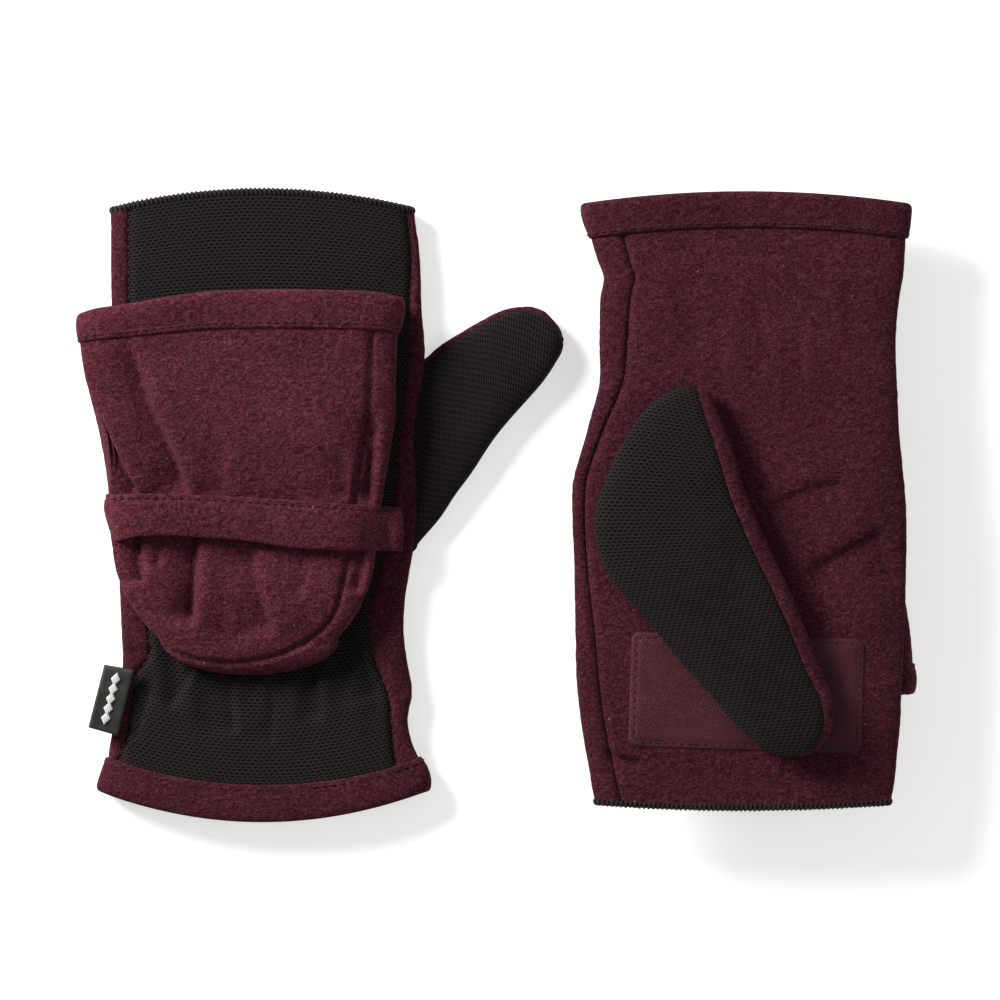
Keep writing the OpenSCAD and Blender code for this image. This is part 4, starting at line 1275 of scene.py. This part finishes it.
thumb = {
    "left": {
        "low": [(14, -29), (24, -25), (36, -19.5), (46.5, -14.1), (47.9, -12.2), (54.9, -4.2),
        (61.1, 5.2), (65.7, 11.9), (71.6, 20.6), (77.2, 27.4), (81.8, 32.7), (86.5, 38.2), (90.5, 44),
        (92.7, 48), (93.3, 51)],
        "high": [(27.5, 41), (33, 42.5), (41, 43.6), (48.6, 44.8), (54.9, 49.8), (62.3, 54.4),
        (68.2, 57.8), (73.8, 60.4), (78.4, 61.6), (81.8, 61.8), (86.5, 60.6), (89.6, 58), (92.1, 54.6),
        (93.3, 51)],
        "roots": (3, 3), "strip": ([0, 0.3, 0.7, 0.9, 1], [1.5, 1.5, 1.3, 1.1, 0.6]),
        "z": ([0, 0.22, 0.32, 0.38, 0.46, 1], [5.0, 5.0, 4.5, 4.3, 4.2, 4.1]),
        "tall": ([0, 0.24, 0.32, 0.38, 0.46, 0.8, 0.93, 1], [2.2, 2.2, 2.5, 3.4, 4.0, 4.1, 3.5, 1.2]),
        "blend": ((22, 16.5), (33.7, 14.0)),
    },
    "right": {
        "low": [(13.4, -35.2), (16.5, -34.6), (22, -32.7), (27.9, -28.7), (32.9, -22.8), (37.2, -15.7),
        (40.6, -8.2), (43.1, -2), (44.6, 4.6), (44.2, 13.5), (40.3, 24), (32.6, 33), (25, 42),
        (17.4, 51), (8.6, 60.9), (-0.6, 71.5), (-7.4, 76.9), (-12.7, 79.3), (-17.4, 79.8)],
        "high": [(13.4, -35.2), (10.9, -34.3), (7.9, -29.3), (3.5, -19.1), (-2.4, -0.2), (-9.2, 15.7),
        (-15.1, 27.7), (-20.4, 40.5), (-25, 52.5), (-28.5, 61.5), (-29, 66.4), (-26.8, 73.4),
        (-22.6, 78), (-17.4, 79.8)],
        "roots": (0, 0), "strip": ([0, 0.1, 0.3, 0.6, 0.8, 0.88, 1], [3.0, 5.0, 5.2, 5.0, 4.0, 2.6, 0.5]),
        "z": ([0, 0.1, 0.5, 1], [-3.4, -4.4, -4.55, -4.5]),
        "tall": ([0, 0.06, 0.16, 0.3, 0.8, 0.93, 1], [-1.0, -2.6, -3.8, -4.15, -4.15, -3.4, -1.0]),
        "blend": ((22, 16.5), (10.3, 19.0)),
    },
}


def pathShares(points, root, rootShare):
    # Share along a path by its length, with the knot at the root brought to rootShare.
    p = np.array(points, float)
    length = np.concatenate([[0], np.cumsum(np.hypot(*np.diff(p, axis=0).T))])
    if root == 0:
        return length / length[-1], p
    near = length[: root + 1] / length[root] * rootShare
    far = rootShare + (length[root:] - length[root]) / (length[-1] - length[root]) * (1 - rootShare)
    return np.concatenate([near, far[1:]]), p


def thumbSleeve(side):
    spec = thumb[side]
    shares = [pathShares(spec[w], r, 0.3) for w, r in (("low", spec["roots"][0]), ("high", spec["roots"][1]))]

    def outline(s, ringX):
        (sa, a), (sb, b) = shares
        ax, ay = smoothLine(sa, a[:, 0], s), smoothLine(sa, a[:, 1], s)
        bx, by = smoothLine(sb, b[:, 0], s), smoothLine(sb, b[:, 1], s)
        return ax + (bx - ax) * (ringX + 1) / 2, ay + (by - ay) * (ringX + 1) / 2

    def height(s, x, y):
        return smoothLine(*spec["z"], s) * levels["thumb"] / 8.3, smoothLine(*spec["tall"],
            s) * levels["thumb"] / 8.3
    return {"outline": outline, "height": height, "section": sectionTable(2.7, 3.2, 4.6)}


def thumbPieces(side):
    # Two halves of a tapered tube that meet in seams along both edges.
    spec = thumb[side]
    sleeve = thumbSleeve(side)
    sleeves[side + "Thumb"] = sleeve

    def lift(p, s, t):
        fade = np.clip((0.97 - s) * 12, 0, 1)
        return fade * (0.30 * softNoise(p, 19, 91) + 0.2 * softNoise(p, 9, 92))

    def upper(s):
        ax, ay = sleeve["outline"](s, 0 * s - 1)
        bx, by = sleeve["outline"](s, 0 * s + 1)
        half = np.maximum(np.hypot(bx - ax, by - ay) / 2, 0.6)
        inset = np.minimum(smoothLine(*spec["strip"], s), half * 0.8)
        return topT(sleeve["section"], 1 - inset / half)

    s = np.concatenate([np.linspace(0, 0.9, 110),
        0.9 + 0.095 * np.sin(np.linspace(0, np.pi / 2, 34))[1:]])
    if side == "right":
        s = np.concatenate([0.006 + 0.075 * (1 - np.cos(np.linspace(0, np.pi / 2, 16))), s[s > 0.085]])
    ends = np.clip(np.minimum((1.0 - s) * 16, 1 if side == "left" else s * 16), 0.12, 1)
    thickness = 1.2 * ends[:, None, None]
    back = addPiece(side, side + "_thumb_back_cloth",
        panel(sleeve, s, lambda q: 0 * q - 0.035, upper, grain, lift, thickness, (0.4, 0.45)), knit,
        None, [side + "_thumb_back"], weld=True)
    front = addPiece(side, side + "_thumb_front_cloth",
        panel(sleeve, s, upper, lambda q: 0 * q + 0.965, grain, lambda p, q,
        t: lift(p, q, t) + nap(p, 0.08, 93), thickness, (0.45, 0.4)),
                     fleece, None, [side + "_thumb_front"], weld=True)
    for piece in (back, front):
        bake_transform(piece)
    # where the thumb is sewn in: a short doubled collar for the spread thumb, a flat seam allowance for
    # the folded one
    if side == "left":
        rows = np.linspace(0.285, 0.316, 8)
        ring = lambda p, q, t: lift(p, q, t) + 0.12 + 0.25 * bell(q - 0.306, 0.012)
        collar = join([panel(sleeve, rows, lambda q: 0 * q, lambda q: 0 * q + 0.5, 0.9, ring, 0.9,
            (0, 0)), panel(sleeve, rows, lambda q: 0 * q + 0.5, lambda q: 0 * q + 1.0, 0.9, ring, 0.9,
            (0, 0))])
        addPiece(side, "left_thumb_seam_collar", collar, knit, "left_hand", ["left_thumb_root"])
    else:
        line = np.array([(41.4, -3), (42.4, 5), (41.9, 13.6), (38.2, 23), (31, 31.6), (24, 40)])
        length = np.concatenate([[0], np.cumsum(np.hypot(*np.diff(line, axis=0).T))])
        at = np.linspace(0, length[-1], 120)
        x, y = smoothLine(length, line[:, 0], at), smoothLine(length, line[:, 1], at)
        z = palmSurface("right", x, y) - 0.55
        path = np.stack([x, y, z], -1)
        out = np.zeros_like(path)
        out[:, 2] = -1
        path = path + 0.16 * np.sin(at * 2 * np.pi / 1.5)[:, None] * out
        r = 0.85 * np.sqrt(np.clip(np.minimum(at, length[-1] - at) / 3, 0, 1))
        addPiece(side, "right_thumb_seam_welt", tube(path, out, r, 10), knit, "right_hand",
            ["right_thumb_root"], weld=True)
    return back, front


for side in ("left", "right"):
    back, front = thumbPieces(side)
    clothSheets[side]["thumb_back"], clothSheets[side]["thumb_front"] = back, front
print("thumbs made")


label = {"corners": [(-49.3, -49.4), (-40.0, -51.0), (-45.1, -71.5), (-54.3, -68.9)], "marks": 5,
    "markSize": 1.5}


def labelPieces():
    # Folded woven tag: bilinear between its corners, both layers, with a soft curl along its free edge.
    c = np.array(label["corners"], float)
    u, v = np.meshgrid(np.linspace(0, 1, 26), np.linspace(0, 1, 54))
    plan = (c[0] * ((1 - u) * (1 - v))[..., None] + c[1] * (u * (1 - v))[..., None] + c[2]
        * (u * v)[..., None] + c[3] * ((1 - u) * v)[..., None])
    z = levels["back"] + 0.95 + 0.45 * (1 - u) ** 2 * np.sin(v * np.pi) + 0.06 * np.sin(v * 2 * np.pi * 3)
    p = np.concatenate([plan, z[..., None]], -1)
    n = np.zeros_like(p)
    n[..., 2] = 1
    rim = np.minimum(np.minimum(u, 1 - u) * 9, np.minimum(v, 1 - v) * 21)
    p[..., 2] -= 0.22 * bell(rim, 0.35)
    tag = addPiece("left", "left_label_tag", shell(p, n, 0.55), satin, "left_tag", ["left_label"])
    k = (np.arange(label["marks"]) + 0.5) / label["marks"] * 0.74 + 0.13
    centre = plan[(k * 53).astype(int), 12]
    along = unit(c[3] - c[0])
    across = unit(c[1] - c[0])
    q = np.linspace(-1, 1, 7)
    gu, gv = np.meshgrid(q, q)
    size = label["markSize"]
    flat = centre[:, None, None] + across * (gu + gv)[None, ...,
        None] * size * 0.5 + along * (gu - gv)[None, ..., None] * size * 0.72
    height = levels["back"] + 1.32 + 0.16 * (1 - np.maximum(np.abs(gu), np.abs(gv)) ** 2)
    mid = 0.45 * (1 - 0.46) ** 2 * np.sin(k * np.pi)
    grids = np.concatenate([flat, (height[None] + mid[:, None, None])[..., None]], -1)
    up = np.zeros_like(grids[0])
    up[..., 2] = 1
    parts = [shell(g, up, 0.3) for g in grids]
    motif = addPiece("left", "left_label_marks", join(parts), marks, "left_tag")
    return tag, motif


labelPieces()
print("label made")


floorSize = 3.0


def stagePieces():
    mesh = bpy.data.meshes.new("tableTop")
    h = floorSize / 2
    mesh.from_pydata([(-h, -h, -0.0006), (h, -h, -0.0006), (h, h, -0.0006), (-h, h, -0.0006)], [],
        [(0, 1, 2, 3)])
    floor = bpy.data.objects.new("tableTop", mesh)
    bpy.context.scene.collection.objects.link(floor)
    paper, _, bsdf = shader("paleTable")
    bsdf.inputs["Base Color"].default_value = (0.90, 0.90, 0.90, 1)
    bsdf.inputs["Roughness"].default_value = 0.9
    bsdf.inputs["Specular IOR Level"].default_value = 0.1
    bsdf.inputs["Emission Color"].default_value = (1, 1, 1, 1)
    bsdf.inputs["Emission Strength"].default_value = 0.55
    mesh.materials.append(paper)


def addLamp(name, at, aim, size, power):
    data = bpy.data.lights.new(name, "AREA")
    data.shape = "SQUARE"
    data.size = size
    data.energy = power
    lamp = bpy.data.objects.new(name, data)
    lamp.location = at

    lamp.rotation_mode = "QUATERNION"
    lamp.rotation_quaternion = (Vector(aim) - Vector(at)).to_track_quat("-Z", "Y")
    bpy.context.scene.collection.objects.link(lamp)


stagePieces()
addLamp("softboxOver", (-1.05, 0.80, 0.72), (0, 0, 0), 0.55, 39)
addLamp("softboxSide", (0.9, -0.2, 1.3), (0, 0, 0), 0.9, 3)
world = bpy.data.worlds.new("studio")
world.use_nodes = True
world.node_tree.nodes["Background"].inputs["Color"].default_value = (1, 1, 1, 1)
world.node_tree.nodes["Background"].inputs["Strength"].default_value = 0.22
bpy.context.scene.world = world
bpy.context.scene.view_settings.view_transform = "Standard"

cameraSpec = {"height": 3.00, "seen": 0.310, "centre": (0.0026, 0.0006), "level": 0.010}
view = bpy.data.cameras.new("overhead")
view.sensor_width = 36
view.lens = 36 * (cameraSpec["height"] - cameraSpec["level"]) / cameraSpec["seen"]
view.clip_start, view.clip_end = 0.05, 20
camera = bpy.data.objects.new("overhead", view)
camera.location = (*cameraSpec["centre"], cameraSpec["height"])
bpy.context.scene.collection.objects.link(camera)
bpy.context.scene.camera = camera
